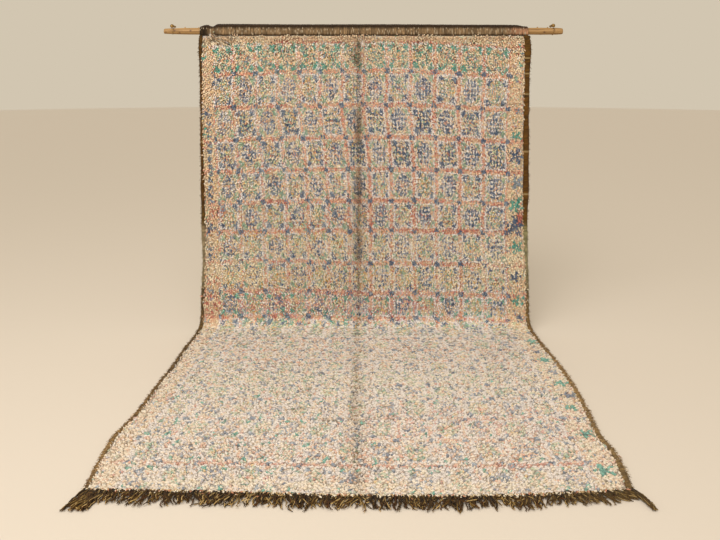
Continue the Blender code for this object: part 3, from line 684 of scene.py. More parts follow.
def buildGround():
    columns, rows, step = groundCloth["columns"], groundCloth["rows"], groundCloth["frontStep"]

    def sheet(columnCount, rowCount, out):
        v, u = np.meshgrid(np.linspace(0, rugShape["length"], rowCount + 1),
                           np.linspace(0, 1, columnCount + 1), indexing="ij")
        v, u = v.ravel(), u.ravel()
        left, right = pileEdges(v)
        across = left + (right - left) * u
        depth, _, _ = creaseAt(v, across)
        points = rugPoints(v, across, out - np.minimum(depth, groundCloth["creaseDepth"]) * (out > 0))
        return points, np.arange(len(u)).reshape(rowCount + 1, columnCount + 1), (v, across, u)

    backPoints, back, backPlaces = sheet(columns, rows, 0.0)
    frontPoints, front, frontPlaces = sheet(columns // step, rows // step, groundCloth["thickness"])
    along, across, share = [np.concatenate(pair) for pair in zip(backPlaces, frontPlaces)]
    front = front + len(backPoints)
    backFaces = np.stack([back[:-1, :-1], back[:-1, 1:], back[1:, 1:], back[1:, :-1]], -1)
    frontFaces = np.stack([front[:-1, :-1], front[1:, :-1], front[1:, 1:], front[:-1, 1:]], -1)
    faces = backFaces.reshape(-1, 4).tolist() + frontFaces.reshape(-1, 4).tolist()
    rims = ((back[0], front[0]), (back[-1, ::-1], front[-1, ::-1]),
            (back[::-1, 0], front[::-1, 0]), (back[:, -1], front[:, -1]))
    for fine, coarse in rims:
        for i in range(len(coarse) - 1):
            edge = fine[i * step:(i + 1) * step + 1]
            faces.append([int(k) for k in edge[::-1]] + [int(coarse[i]), int(coarse[i + 1])])
    ground = newPiece("rug_ground", np.concatenate([backPoints, frontPoints]), faces,
                      knottedBackMaterial())

    # the back and the front lie beside each other in the OFBake UV map
    corners = cornersOf(ground)
    layUv(ground, "rugPlace", np.stack([across, along], -1)[corners])
    isFront = corners >= len(backPoints)
    inFrontSheet = np.zeros(len(corners), dtype=bool)
    inFrontSheet[backFaces.size:backFaces.size + frontFaces.size] = True
    u, v = share[corners], along[corners] / rugShape["length"]
    bakeU = np.where(inFrontSheet, 0.62 + 0.34 * u, 0.02 + 0.54 * u + 0.006 * (u - 0.5) * isFront)
    bakeV = np.where(inFrontSheet, 0.02 + 0.60 * v, 0.01 + 0.97 * v + 0.006 * (v - 0.5) * isFront)
    layUv(ground, "OFBake", np.stack([bakeU, bakeV], -1))

    # each face of the back has one yarn, as a knot has
    firstCorner = corners.copy()
    firstCorner[:backFaces.size] = np.repeat(corners[:backFaces.size:4], 4)
    lying = ease((along[corners] - 1.5) / 0.3)
    # painted shade: the cloth under the pile is darker between the tufts where the rug hangs and lifted
    # where it lies; the back is evenly darker
    hangingShade, lyingLift = groundCloth["frontShade"]
    shade = np.where(inFrontSheet, hangingShade + lyingLift * lying, groundCloth["backShade"])
    paintPiece(ground, "knotColour", knotColours(along, across)[firstCorner] * shade[:, None], "CORNER")
    return ground


# the pile: one lying tuft for each knot, its wool bent over towards the fringe

pileCloth = {
    # one row for each piece of the pile: where it starts along the rug, its rows and columns
    "bands": ((0.0, 94, 284), (0.78, 96, 284), (1.58, 86, 226), (2.50, 88, 226)),
    "endsBefore": 0.004, "jitter": 0.34, "halfWidth": 0.0047, "reach": 0.0165, "height": 0.0095,
    # how far the tufts reach over the bindings, and how much more at the right of the front
    "overhang": ((0.0, -0.003), (1.1, -0.003), (1.5, 0.002), (3.45, 0.004)), "rightOverhang": 0.008,
    "ragged": 0.002, "edgeWidth": 0.012, "spread": 0.58,
    # the lying part: its turn and spread, and how much bigger a tuft is at its back and front
    "lyingTurn": 1.15, "lyingSpread": 0.50,
    "lyingWidth": (1.00, 1.28), "lyingReach": (1.90, 1.42), "lyingHeight": (0.55, 0.46),
    # the shaggy corner at the top left: along and half length, across and half width
    "corner": (0.014, 0.034, -0.850, 0.105), "cornerReach": 2.2, "cornerTurn": 1.15,
    # where the first rows run up over the heading: across, half width, how far
    "laps": ((-0.884, 0.020, 0.022), (-0.055, 0.070, 0.009), (0.930, 0.030, -0.002)),
    "topLift": 0.006, "topRows": 0.009, "foldAcross": -0.029, "foldWidth": 0.043,
    # tints of shaded wool in red, green and blue: in creases, at the roots, in the broad fold
    "darkTint": (0.92, 1.06, 1.24), "rootTint": (1.06, 0.97, 0.86), "foldTint": (0.85, 1.05, 1.30),
    # light at a tuft's root, three middle points and tip, and what the lying part adds to it
    "tone": (0.66, 0.98, 0.98, 0.98, 1.05), "lyingTone": (0.29, -0.08, -0.08, -0.08, -0.20),
}


def tuftShapes(along, across):
    n = len(along)
    depth, shade, side = creaseAt(along, across)
    lying = ease((along - 1.60) / 0.14)
    ahead = ease((along - 1.75) / 1.2)
    lyingWidth, lyingReach, lyingHeight = [
        1 + lying * (pileCloth[name][0] - 1 + (pileCloth[name][1] - pileCloth[name][0]) * ahead)
        for name in ("lyingWidth", "lyingReach", "lyingHeight")]
    out, onward = rugDirections(along, across)
    sideways = np.tile([1.0, 0.0, 0.0], (n, 1))

    # which way each tuft lies, in patches on the floor and outwards along the edges
    drift = 0.22 * np.sin(3.1 * across + 2.2 * along) + 0.16 * np.sin(7.3 * across - 5.1 * along + 1)
    spread = pileCloth["spread"] + (pileCloth["lyingSpread"] - pileCloth["spread"]) * lying
    patches = np.sin(9.7 * across + 2.1 * along) + np.sin(13.3 * along - 4.3 * across)
    patches = patches + dice.normal(size=n)
    turned = pileCloth["lyingTurn"] * lying * np.where(patches > 0, 1, -1)
    angle = drift + turned + spread * dice.normal(size=n) - 0.9 * side * shade * (1 - 0.4 * lying)
    left, right = pileEdges(along)
    edge = pileCloth["edgeWidth"]
    edgeLean = np.clip(1 - (right - across) / edge, 0, 1.3) - np.clip(1 - (across - left) / edge, 0, 1.3)
    escaped = (abs(edgeLean) > 0.4) & (dice.random(n) < 0.08)
    angle = angle * (1 - 0.5 * abs(edgeLean)) + np.where(escaped, 1.4, 0.45 + 0.25 * lying) * edgeLean
    cornerAlong, cornerLong, cornerAcross, cornerWide = pileCloth["corner"]
    corner = ((along - cornerAlong) / cornerLong) ** 2 + ((across - cornerAcross) / cornerWide) ** 2
    corner = np.exp(-corner)
    angle = angle * (1 - 0.7 * corner) + pileCloth["cornerTurn"] * corner
    upward = (along < pileCloth["topRows"]) & (dice.random(n) < 0.22) & (corner < 0.5)
    angle = np.where(upward, math.pi + 0.8 * dice.normal(size=n), angle)
    lie = np.cos(angle)[:, None] * onward + np.sin(angle)[:, None] * sideways

    # its size, its yarn and its root, bend and tip
    reach = pileCloth["reach"] * (0.70 + 0.60 * dice.random(n))
    reach = reach * lyingReach * (1 + pileCloth["cornerReach"] * corner)
    reach = reach * np.where(escaped & (lying < 0.5), 1.4, 1.0) * np.where(upward, 0.45, 1.0)
    height = pileCloth["height"] * lyingHeight * (0.65 + 0.70 * dice.random(n) + 0.1 * lying)
    wide = pileCloth["halfWidth"] * (0.80 + 0.45 * dice.random(n))
    wide = wide * lyingWidth * (1 - 0.45 * corner)
    colours = knotColours(along + 0.5 * reach * np.cos(angle), across + 0.5 * reach * np.sin(angle))
    sunk = np.maximum(groundCloth["thickness"] - 0.002 - depth, 0.0006)
    sunk = sunk + pileCloth["topLift"] * np.clip(1 - along / 0.022, 0, 1)
    root = rugPoints(along, across, sunk) - lie * (0.10 * reach)[:, None]
    bend = rugPoints(along, across, sunk + height) + lie * (0.52 * reach)[:, None]
    tip = rugPoints(along, across, sunk + height * (0.35 + 0.75 * dice.random(n)))
    tip = tip + lie * reach[:, None] + sideways * (0.002 * dice.normal(size=n))[:, None]
    axis = unit(tip - root)
    beside = unit(np.cross(axis, out))
    above = np.cross(beside, axis)
    roll = dice.random(n) * 0.9 + 1.1
    points = np.empty((n, 5, 3))
    points[:, 0], points[:, 4] = root, tip
    for k in range(3):
        turn = roll + 2 * math.pi * k / 3
        ring = np.cos(turn)[:, None] * beside + np.sin(turn)[:, None] * above
        points[:, 1 + k] = bend + wide[:, None] * ring
    points[..., 2] = np.maximum(points[..., 2], 0.0004)
    pattern = np.array([[0, 2, 1], [0, 3, 2], [0, 1, 3], [4, 1, 2], [4, 2, 3], [4, 3, 1]])
    faces = (5 * np.arange(n)[:, None, None] + pattern).reshape(-1, 3)

    # light and shade: dark roots, creases, hollows between rough tufts and the broad fold
    tone = np.array(pileCloth["tone"])[None, :] + np.outer(lying, pileCloth["lyingTone"])
    # painted shade in the creases, stronger and weaker along them
    creaseShadeStrength = 0.85 + 0.15 * np.sin(97 * along) * np.sin(41 * along + 2)
    rough = np.maximum(ease(1 - along / 0.07) * 0.6, corner)
    hollow = ((shade > 0.2) | (corner > 0.25)) & (dice.random(n) < 0.32)
    hollow = np.where(hollow, 0.50 - 0.15 * corner, 1.0)
    dark = (1.0 - 0.60 * shade * creaseShadeStrength) * hollow * (1.0 - 0.62 * rough * dice.random(n))
    paint = colours[:, None, :] * tone[:, :, None] * dark[:, None, None] ** pileCloth["darkTint"]
    paint[:, 0] *= pileCloth["rootTint"]
    fold = np.exp(-((across - pileCloth["foldAcross"]) / pileCloth["foldWidth"]) ** 2)
    fold = readTable(foldShade, 1, along) * fold
    paint *= 1 - fold[:, None, None] * np.array(pileCloth["foldTint"])
    return points.reshape(-1, 3), faces, paint.reshape(-1, 3)


def lapOver(along, across):  # the first rows run up over the heading's lower edge in places
    lap = waves(across, (0.003, 17, 2), (0.003, 39, 0), (0.0035, 97, 1)) + 0.001
    for place, halfWidth, rise in pileCloth["laps"]:
        lap = lap + rise * np.exp(-((across - place) / halfWidth) ** 2)
    return along - lap * np.clip(1 - along / 0.04, 0, 1)


def buildPile():
    material = woolPileMaterial()
    bands, jitter = pileCloth["bands"], pileCloth["jitter"]
    ends = [start for start, _, _ in bands[1:]] + [rugShape["length"] - pileCloth["endsBefore"]]
    pieces = []
    for band, ((start, rows, columns), end) in enumerate(zip(bands, ends)):
        v, u = np.meshgrid((np.arange(rows) + 0.5) / rows, (np.arange(columns) + 0.5) / columns,
                           indexing="ij")
        v = v + (np.arange(columns) % 2 - 0.5)[None, :] * 0.5 / rows
        v, u = v.ravel(), u.ravel()
        v = v + dice.uniform(-jitter, jitter, len(v)) / rows
        u = u + dice.uniform(-jitter, jitter, len(u)) / columns
        along = start + v * (end - start)
        left, right = pileEdges(along)
        ragged = pileCloth["ragged"] * np.stack([np.sin(83 * along), np.sin(137 * along + 1)])
        over = readTable(pileCloth["overhang"], 1, along)
        overLeft = over + np.maximum(ragged.sum(axis=0), 0)
        overRight = over + np.maximum(ragged[0] - ragged[1], 0)
        overRight = overRight + pileCloth["rightOverhang"] * ease((along - 2.5) / 0.7)
        across = left - overLeft + (right + overRight - left + overLeft) * u
        along = lapOver(along, across)
        points, faces, paint = tuftShapes(along, across)
        pile = newPiece("pile_%d" % (band + 1), points, faces, material)
        paintPiece(pile, "tuftColour", paint)
        side = math.ceil(math.sqrt(len(along)))  # each tuft has its own cell of the OFBake UV map
        cell = np.stack([np.arange(len(along)) % side, np.arange(len(along)) // side], -1)
        inCell = np.array([[0.5, 0.12], [0.2, 0.5], [0.5, 0.5], [0.8, 0.5], [0.5, 0.88]])
        places = (cell[:, None, :] + inCell) / side
        layUv(pile, "OFBake", places.reshape(-1, 2)[cornersOf(pile)])
        pieces.append(pile)
    return pieces


# the bindings: goat hair wound over both long edges

selvedgeWinding = {
    "pitch": 0.0062, "rowStep": 0.0021, "sides": 8, "relief": 0.0013, "brightness": 1.20,
    # fine hairs that stand off it: how many, shortest and longest, and their radii from root to tip
    "hairs": 900, "hairReach": (0.004, 0.012), "hairRadii": (0.0014, 0.0010, 0.0004),
    # single pale wraps: their colour, and where they are along each side
    "paleWrap": "#9a875f", "left": (0.31, 0.62, 1.55), "right": (0.131, 0.222, 0.341, 0.677, 0.925, 2.62),
}

# colours along the winding: along, left, right
windingColours = (
    (0.00, "#45300f", "#50370f"), (0.30, "#4b3211", "#523710"), (0.88, "#49300d", "#4f340e"),
    (0.98, "#493210", "#4f340e"), (1.08, "#4f3a19", "#523a12"), (1.14, "#7a6c54", "#757050"),
    (1.25, "#7d7058", "#7a7458"), (1.43, "#74684e", "#726a50"), (1.52, "#4c3b24", "#605238"),
    (1.70, "#5c4829", "#6a5230"), (2.20, "#644f31", "#826843"), (2.55, "#6b5434", "#8a7049"),
    (2.80, "#735a38", "#7c6440"), (3.20, "#8a6f48", "#7a6442"), (3.50, "#6a5235", "#604c2c"),
)


def windingColour(at, column):
    places = [row[0] for row in windingColours]
    shades = selvedgeWinding["brightness"] * shadesOf(*[row[column] for row in windingColours])
    return np.stack([np.interp(at, places, shades[:, k]) for k in range(3)], -1)


def buildSelvedge(side, material):
    column, outward = (1, -1.0) if side == "left" else (2, 1.0)
    rows = int(rugShape["length"] / selvedgeWinding["rowStep"])
    sides = selvedgeWinding["sides"]
    along = np.repeat(np.linspace(0.0, rugShape["length"], rows)[:, None], sides, axis=1)
    angle = np.repeat(2 * math.pi * (np.arange(sides)[None, :] + 0.5) / sides, rows, axis=0)
    outer = readTable(edgeRows, column, along)
    width = readTable(edgeRows, column + 2, along)
    wind = along / selvedgeWinding["pitch"] + 0.35 * np.cos(angle)
    chance = scatter(np.floor(wind).astype(int) * 12.9898 + column)
    relief = selvedgeWinding["relief"] * (0.5 + chance) * abs(np.sin(math.pi * wind))
    half = width / 2 + relief + 0.0012 * np.sin(23 * along) + 0.002 * (chance - 0.5)
    thick = rugShape["thickness"] / 2
    across = outer - outward * width / 2 + half * np.cos(angle)
    out = thick * 0.95 + (thick * 0.86 + relief) * np.sin(angle)
    points = rugPoints(along, across, np.maximum(out, 0.0004))
    walls, caps = tubeFaces(1, rows, sides)
    colours = windingColour(along, column)
    mottle = 1.0 + 0.16 * np.sin(61 * along + angle) + 0.12 * np.sin(149 * along - 2 * angle)
    colours = colours * ((0.58 + 0.75 * chance) * mottle)[..., None]
    # painted shade: each wrap darker towards its edges, in the grooves between the wraps
    colours = colours * (0.62 + 0.38 * abs(np.sin(math.pi * wind)))[..., None]
    for place in selvedgeWinding[side]:
        pale = (abs(along - place) < selvedgeWinding["pitch"] * 0.7)[..., None]
        paler = colours + (shadesOf(selvedgeWinding["paleWrap"]) - colours) * 0.6
        colours = np.where(pale, paler, colours)
    winding = (points.reshape(-1, 3), walls + caps, colours.reshape(-1, 3))

    count = selvedgeWinding["hairs"]
    start = dice.uniform(0.0, rugShape["length"], count)
    width = readTable(edgeRows, column + 2, start)
    inward = np.where(dice.random(count) < 0.55, 0.003, width * dice.random(count) * 0.8)
    edge = readTable(edgeRows, column, start) - outward * inward
    height = np.where(inward > 0.0031, 0.0142, dice.uniform(0.003, 0.013, count))
    root = rugPoints(start, edge, height)
    out, onward = rugDirections(start, edge)
    reach = dice.uniform(*selvedgeWinding["hairReach"], count)[:, None]
    lean = onward * dice.normal(0.4, 0.7, count)[:, None] + out * dice.normal(0.1, 0.3, count)[:, None]
    tip = root + (np.array([outward, 0.0, 0.0]) + lean) * reach
    tip[:, 2] = np.maximum(tip[:, 2], 0.001)
    paths = np.stack([root, (root + tip) / 2 + out * (0.25 * reach), tip], axis=1)
    radii = np.array(selvedgeWinding["hairRadii"]) * dice.uniform(0.7, 1.3, (count, 1))
    colours = windingColour(start, column) * dice.uniform(0.6, 1.3, (count, 1))
    return hairPiece("selvedge_%s_winding" % side, [winding, makeStrands(paths, radii, 3, colours)],
                     material)


# the heading: a flat-woven ribbed band that runs up over the pole, with a dark cord on its crest

# how high its crest stands over the middle of the pole: across, height
crestRows = (
    (-0.957, 0.0270), (-0.940, 0.0330), (-0.915, 0.0365), (-0.896, 0.0285), (-0.884, 0.0262),
    (-0.860, 0.0400), (-0.830, 0.0425), (-0.400, 0.0400), (0.150, 0.0405), (0.600, 0.0380),
    (0.900, 0.0360), (0.935, 0.0290), (0.964, 0.0265),
)
headingCloth = {
    "frontThickness": 0.009, "backThickness": 0.006, "backClearance": 0.003, "backDrop": 0.058,
    "leastClearance": 0.0023, "leastCrest": 0.003, "gapShare": 0.35,
    "columns": 300, "arcSteps": 12, "ribs": 330, "ribsIn": 0.004, "ribRadius": 0.0019, "bead": 0.22,
    "cordStrands": 3, "cordSteps": 640, "cordPitch": 0.034, "cordRadius": 0.0044, "cordSpread": 0.0036,
    "hairs": 300, "hairRadii": (0.0011, 0.0008, 0.0003), "fleckChance": 0.13, "fleckLight": 1.4,
    "grey": "#7c664b", "dark": "#2c2012", "rose": "#a3765c", "cord": "#33251a", "hair": "#4c3a26",
    "fleck": "#b8aa92",
}


def headingSections(across):  # inner and outer faces of the band at places across it
    crest = readTable(crestRows, 1, across)[:, None]
    radius, clear = rugShape["poleRadius"], rugShape["frontClearance"] - rugShape["poleRadius"]
    spare = np.maximum(crest - radius - headingCloth["leastClearance"] - headingCloth["leastCrest"], 0)
    crestClear = headingCloth["leastClearance"] + headingCloth["gapShare"] * spare
    crestThick = crest - radius - crestClear
    angle = np.linspace(0, math.pi, headingCloth["arcSteps"] + 1)[None, :]
    up, behind = np.sin(angle) ** 2, (1 - np.cos(angle)) / 2
    sideClear = clear + (headingCloth["backClearance"] - clear) * behind
    frontThick, backThick = headingCloth["frontThickness"], headingCloth["backThickness"]
    sideThick = frontThick + (backThick - frontThick) * behind
    inside = radius + sideClear + (crestClear - sideClear) * up
    outside = inside + sideThick + (crestThick - sideThick) * up
    low, drop = rugShape["topZ"] + 0.0004 - poleZ, -headingCloth["backDrop"]
    faces = []
    for reach in (inside, outside):
        y, z = -np.cos(angle) * reach, np.sin(angle) * reach
        y = np.pad(y, ((0, 0), (2, 2)), mode="edge")
        z = np.concatenate([np.tile([low, low * 0.5], (len(across), 1)), z,
                            np.tile([drop * 0.5, drop], (len(across), 1))], axis=1)
        faces.append(xyz(across[:, None], poleY + y, poleZ + z))
    return faces


def headingColours(across, step):  # grey-brown in front, dark at the crest and lower edge, partly dark wool and partly painted shade
    grey, dark, rose = [shadesOf(headingCloth[name]) for name in ("grey", "dark", "rose")]
    streak = 0.82 + waves(across, (0.12, 37, 0), (0.10, 113, 1))
    colour = grey * streak[:, None]
    colour = colour + (rose - colour) * (ease((across - 0.82) / 0.08) * 0.6)[:, None]
    # darker at the crest: a dark band, with painted shade where the cloth turns over the pole; darker at the
    # lower edge: its dark edge, with a painted shadow under it; dark brown wool at the left end
    crestShare = ease((step - 3.4) / 1.2)[:, None]
    lowShare = ease((1.0 - step) / 0.9)[:, None]
    corner = ease((-0.895 - across) / 0.03)[:, None]
    return colour + (dark - colour) * np.maximum(np.maximum(crestShare, lowShare), corner)


def buildHeading(material):
    across = np.linspace(crestRows[0][0], crestRows[-1][0], headingCloth["columns"])
    inner, outer = headingSections(across)
    steps = inner.shape[1]
    lump = waves(across, (0.0012, 71, 0), (0.0008, 163, 2))
    outer[:, 4:10, 2] += np.maximum(lump, -0.001)[:, None] * 0.6
    ring = np.concatenate([inner, outer[:, ::-1]], axis=1)
    count = ring.shape[1]
    walls, _ = tubeFaces(1, len(across), count)
    ends = []
    for first, order in ((0, 1), ((len(across) - 1) * count, -1)):
        for i in range(steps - 1):
            quad = [first + i, first + count - 1 - i, first + count - 2 - i, first + i + 1]
            ends.append(quad[::order])
    heading = newPiece("heading_band", ring.reshape(-1, 3), walls + ends, material)
    recalculate(heading)
    step = np.concatenate([np.arange(steps), np.arange(steps)[::-1]])
    colours = headingColours(np.repeat(across, count), np.tile(step.astype(float), len(across)))
    paintPiece(heading, "hairColour", colours * dice.uniform(0.8, 1.2, (len(colours), 1)))
    return heading


def recalculate(piece):  # faces of a closed piece turned outwards
    shape = bmesh.new()
    shape.from_mesh(piece.data)
    bmesh.ops.recalc_face_normals(shape, faces=shape.faces)
    shape.to_mesh(piece.data)
    shape.free()


def buildRibs(material):  # the band's warp ribs, the twisted cord on its crest and loose ends
    count = headingCloth["ribs"]
    span = (crestRows[0][0] + headingCloth["ribsIn"], crestRows[-1][0] - headingCloth["ribsIn"])
    across = np.linspace(*span, count) + dice.uniform(-0.0008, 0.0008, count)
    _, outer = headingSections(across)
    paths = outer[:, :-1].copy()
    paths[:, :, 0] += np.cumsum(dice.normal(0, 0.0004, paths.shape[:2]), axis=1)
    beads = 1 + headingCloth["bead"] * np.where(np.indices(paths.shape[:2]).sum(axis=0) % 2, 1, -1)
    radii = headingCloth["ribRadius"] * dice.uniform(0.8, 1.25, (count, 1)) * beads
    step = np.tile(np.arange(paths.shape[1], dtype=float), count)
    colours = headingColours(np.repeat(across, paths.shape[1]), step)
    light = dice.random((count, 1)) * np.ones(paths.shape[:2])
    flecks = (dice.random(light.shape) < headingCloth["fleckChance"]).ravel()
    light = np.where(flecks, headingCloth["fleckLight"], light.ravel())
    colours = colours * ((0.34 + 1.30 * light) * dice.uniform(0.45, 1.60, len(light)))[:, None]
    front = (step > 0.5) & (step < 5)
    colours = np.where((flecks & front)[:, None], shadesOf(headingCloth["fleck"]), colours)
    parts = [makeStrands(paths, radii, 4, colours, roll=math.pi / 4)]

    # strands twisted into the crest cord
    steps, strands = headingCloth["cordSteps"], headingCloth["cordStrands"]
    place = np.linspace(*span, steps)
    _, crestFace = headingSections(place)
    middle = crestFace[:, 2 + headingCloth["arcSteps"] // 3] - np.array([0, 0.002, 0.0055])
    for strand in range(strands):
        turn = 2 * math.pi * (place / headingCloth["cordPitch"] + strand / strands)
        path = middle + headingCloth["cordSpread"] * xyz(0, np.cos(turn), np.sin(turn))
        path[:, 2] += waves(place, (0.0008, 53, 0), (0.0005, 131, 0))
        radius = headingCloth["cordRadius"] + waves(place, (0.0007, 89, strand))
        shade = shadesOf(headingCloth["cord"]) * dice.uniform(0.6, 1.4, (steps, 1))
        parts.append(makeStrands(path[None], radius[None], 5, shade))

    # loose hairs on the crest
    hairs = headingCloth["hairs"]
    root = middle[dice.integers(0, steps, hairs)] + xyz(0, dice.normal(-0.004, 0.003, hairs), 0)
    lean = xyz(dice.normal(0, 0.004, hairs), dice.normal(-0.003, 0.003, hairs),
               dice.uniform(0.003, 0.009, hairs))
    paths = np.stack([root, root + lean * 0.6, root + lean * [1.3, 1.3, 0.9]], axis=1)
    radii = np.tile(headingCloth["hairRadii"], (hairs, 1))
    shade = shadesOf(headingCloth["hair"]) * dice.uniform(0.5, 1.5, (hairs, 1))
    parts.append(makeStrands(paths, radii, 3, shade))
    return hairPiece("heading_ribs", parts, material)


# the fringe: twisted locks of goat hair along the front edge, lying on the floor

fringeTwist = {
    "locks": 440, "leftExtra": 38, "rightExtra": 22, "strands": 2, "steps": 9, "length": 0.060,
    "swing": 0.013, "stripDepth": 0.022, "longest": 0.122, "shortest": 0.03,
    # at both corners the locks are longer and fan out: how far in that holds, how softly it ends,
    # the length added, and the tip's shift at the corner and where the fan ends
    "leftCorner": (0.063, 0.016, 0.060, -0.046, -0.012),
    "rightCorner": (0.014, 0.007, 0.085, 0.024, 0.030),
    # towards the right corner all locks sweep sideways: how far in, the tip's shift, length lost
    "sweep": (0.10, 0.056, 0.50),
    "twist": 0.0017, "radius": 0.0028, "wave": 0.0060, "tone": (0.36, 1.55),
    "worn": (-0.430, 0.465, 0.645), "wornHalf": 0.012, "wornLength": 0.012,
    "strays": 190, "strayRadius": 0.0019, "knots": 620, "knotRadii": (0.0014, 0.0034, 0.0012),
    "stripSteps": 420, "stripRadius": 0.0044, "strip": "#3a2c1e", "greyer": "#564628",
}
fringeShades = ("#33220a", "#3f2b0f", "#4b3512", "#71592d", "#492b10", "#211404", "#a38a5a")
warpKnotShades = ("#e2d8c4", "#cbb896", "#a98e68", "#b98468")


def frontEdge(across):  # the front edge's points on the floor
    return rugPoints(np.full_like(across, rugShape["length"]), across, np.zeros_like(across))


def buildLocks(left, right):  # the twisted locks, two strands each
    count, strands, steps = fringeTwist["locks"], fringeTwist["strands"], fringeTwist["steps"]
    across = np.linspace(left + 0.004, right - 0.004, count)
    leftPart = dice.uniform(left + 0.002, left + fringeTwist["leftCorner"][0], fringeTwist["leftExtra"])
    rightPart = dice.uniform(right - 0.016, right - 0.002, fringeTwist["rightExtra"])
    across = np.concatenate([across, leftPart, rightPart])
    count = len(across)
    across = across + dice.uniform(-0.003, 0.003, count)

    def spread(low, high):  # one random number for each lock
        return dice.uniform(low, high, (count, 1))

    # how long each lock is, and how far its tip goes aside
    swing = waves(across, (1.0, 23, 0.7), (0.6, 61, 0), (0.5, 97, 2))
    length = fringeTwist["length"] + fringeTwist["swing"] * swing / 1.6 + dice.normal(0, 0.010, count)
    shift = waves(across, (0.014, 17, 0), (0.010, 43, 1)) + dice.normal(0, 0.012, count)
    reach, sideShift, lost = fringeTwist["sweep"]
    swept = np.exp(-np.maximum(right - 0.05 - across, 0) / reach)
    length, shift = length * (1 - lost * swept), shift * (1 - 0.6 * swept) + sideShift * swept
    for fromEdge, name in ((across - left, "leftCorner"), (right - across, "rightCorner")):
        hold, soft, extra, lean, innerLean = fringeTwist[name]
        tail = np.exp(-np.maximum(fromEdge - hold, 0) / soft)
        lean = lean + (innerLean - lean) * np.clip(fromEdge / hold, 0, 1)
        length, shift = length + extra * tail, shift * (1 - 0.7 * tail) + lean * tail
    longest = fringeTwist["longest"] * dice.uniform(0.76, 1.0, count)
    length = np.clip(length, fringeTwist["shortest"], longest)
    worn = np.min([abs(across - place) for place in fringeTwist["worn"]], axis=0) < fringeTwist["wornHalf"]
    length = np.where(worn, fringeTwist["wornLength"], length) + fringeTwist["stripDepth"] * 0.8

    # its spine on the floor, from the root to the tip
    root = frontEdge(across) + np.array([0, -0.004, 0.006])
    share = np.linspace(0, 1, steps)[None, :]
    curl = dice.normal(0, 0.006, (count, 1)) * np.sin(math.pi * share * spread(0.8, 2.2))
    wave = 2 * math.pi * (share * spread(1.2, 2.4) + dice.random((count, 1)))
    curl = curl + fringeTwist["wave"] * spread(0.3, 1.2) * np.sin(wave) * share
    bow = 1.4 - 0.65 * tail[:, None]  # the right corner's tail leaves the edge sooner
    x = root[:, :1] + shift[:, None] * share**bow + curl
    y = root[:, 1:2] - length[:, None] * share
    height = 0.0055 + spread(0.0, 0.006) * (1 - 0.6 * share)
    z = height + 0.003 * np.sin(math.pi * share * spread(0.5, 2.0))
    spine = np.stack([x, y, np.maximum(z, 0.003)], -1)

    turns = spread(1.6, 2.6)
    paths, radii = [], []
    for strand in range(strands):
        turn = 2 * math.pi * (turns * share + strand / strands)
        loose = fringeTwist["twist"] * (0.8 + 1.1 * share**2)
        path = spine.copy()
        path[..., 0] += np.cos(turn) * loose
        path[..., 2] = np.maximum(path[..., 2] + np.sin(turn) * loose * 0.8, 0.0026)
        paths.append(path)
        radii.append(fringeTwist["radius"] * spread(0.75, 1.2) * (1 - 0.55 * share**2))
    roll = dice.uniform(0, 2, count * strands)
    shades = pickShades(fringeShades, count * strands, 1.2)
    side = np.tile(ease((across - 0.55) / 0.3) * 0.5, strands)[:, None]
    shades = shades + (shadesOf(fringeTwist["greyer"]) - shades) * side
    tone = np.linspace(*fringeTwist["tone"], steps)[None, :, None]
    colours = (shades[:, None, :] * tone).reshape(-1, 3)
    return makeStrands(np.concatenate(paths), np.concatenate(radii), 3, colours, roll)


def buildStrays(left, right):  # single strands that lie across the locks
    strays = fringeTwist["strays"]
    place = dice.uniform(left + 0.02, right - 0.02, strays)
    start = frontEdge(place) + xyz(0, dice.uniform(-0.045, -0.006, strays),
                                   dice.uniform(0.009, 0.014, strays))
    turn = dice.normal(0, 1, strays) * 0.9 + np.where(dice.random(strays) < 0.5, -0.9, 0.9)
    ahead = xyz(np.sin(turn), -0.55 * abs(np.cos(turn)), 0)
    beside = xyz(-ahead[:, 1], ahead[:, 0], 0)
    share = np.linspace(0, 1, 6)[None, :, None]
    curl = (dice.normal(0, 0.010, strays)[:, None, None] * np.sin(math.pi * share * 1.4)) * beside[:, None]
    path = start[:, None] + ahead[:, None] * share * dice.uniform(0.03, 0.065, strays)[:, None, None] + curl
    path[..., 2] = np.maximum(path[..., 2] - 0.008 * share[..., 0] ** 2, 0.004)
    radii = fringeTwist["strayRadius"] * dice.uniform(0.8, 1.2, (strays, 1)) * (1 - 0.5 * share[..., 0] ** 2)
    shades = shadesOf(*fringeShades)
    shade = shades[dice.integers(0, len(shades), strays)] * dice.uniform(0.9, 1.3, (strays, 1))
    return makeStrands(path, radii, 4, shade)


def buildStrip(left, right, row):  # one lumpy roll of the dark strip that holds the roots
    steps = fringeTwist["stripSteps"]
    place = np.linspace(left, right, steps)
    path = frontEdge(place) + np.array([0, -0.004 - 0.007 * row, 0.0046])
    path[:, 2] += waves(place, (0.0008, 210, row))
    radius = fringeTwist["stripRadius"] + waves(place, (0.0007, 333, 2 * row)) - 0.0005 * row
    shade = shadesOf(fringeTwist["strip"]) * dice.uniform(0.6, 1.4, (steps, 1))
    return makeStrands(path[None], radius[None], 5, shade)


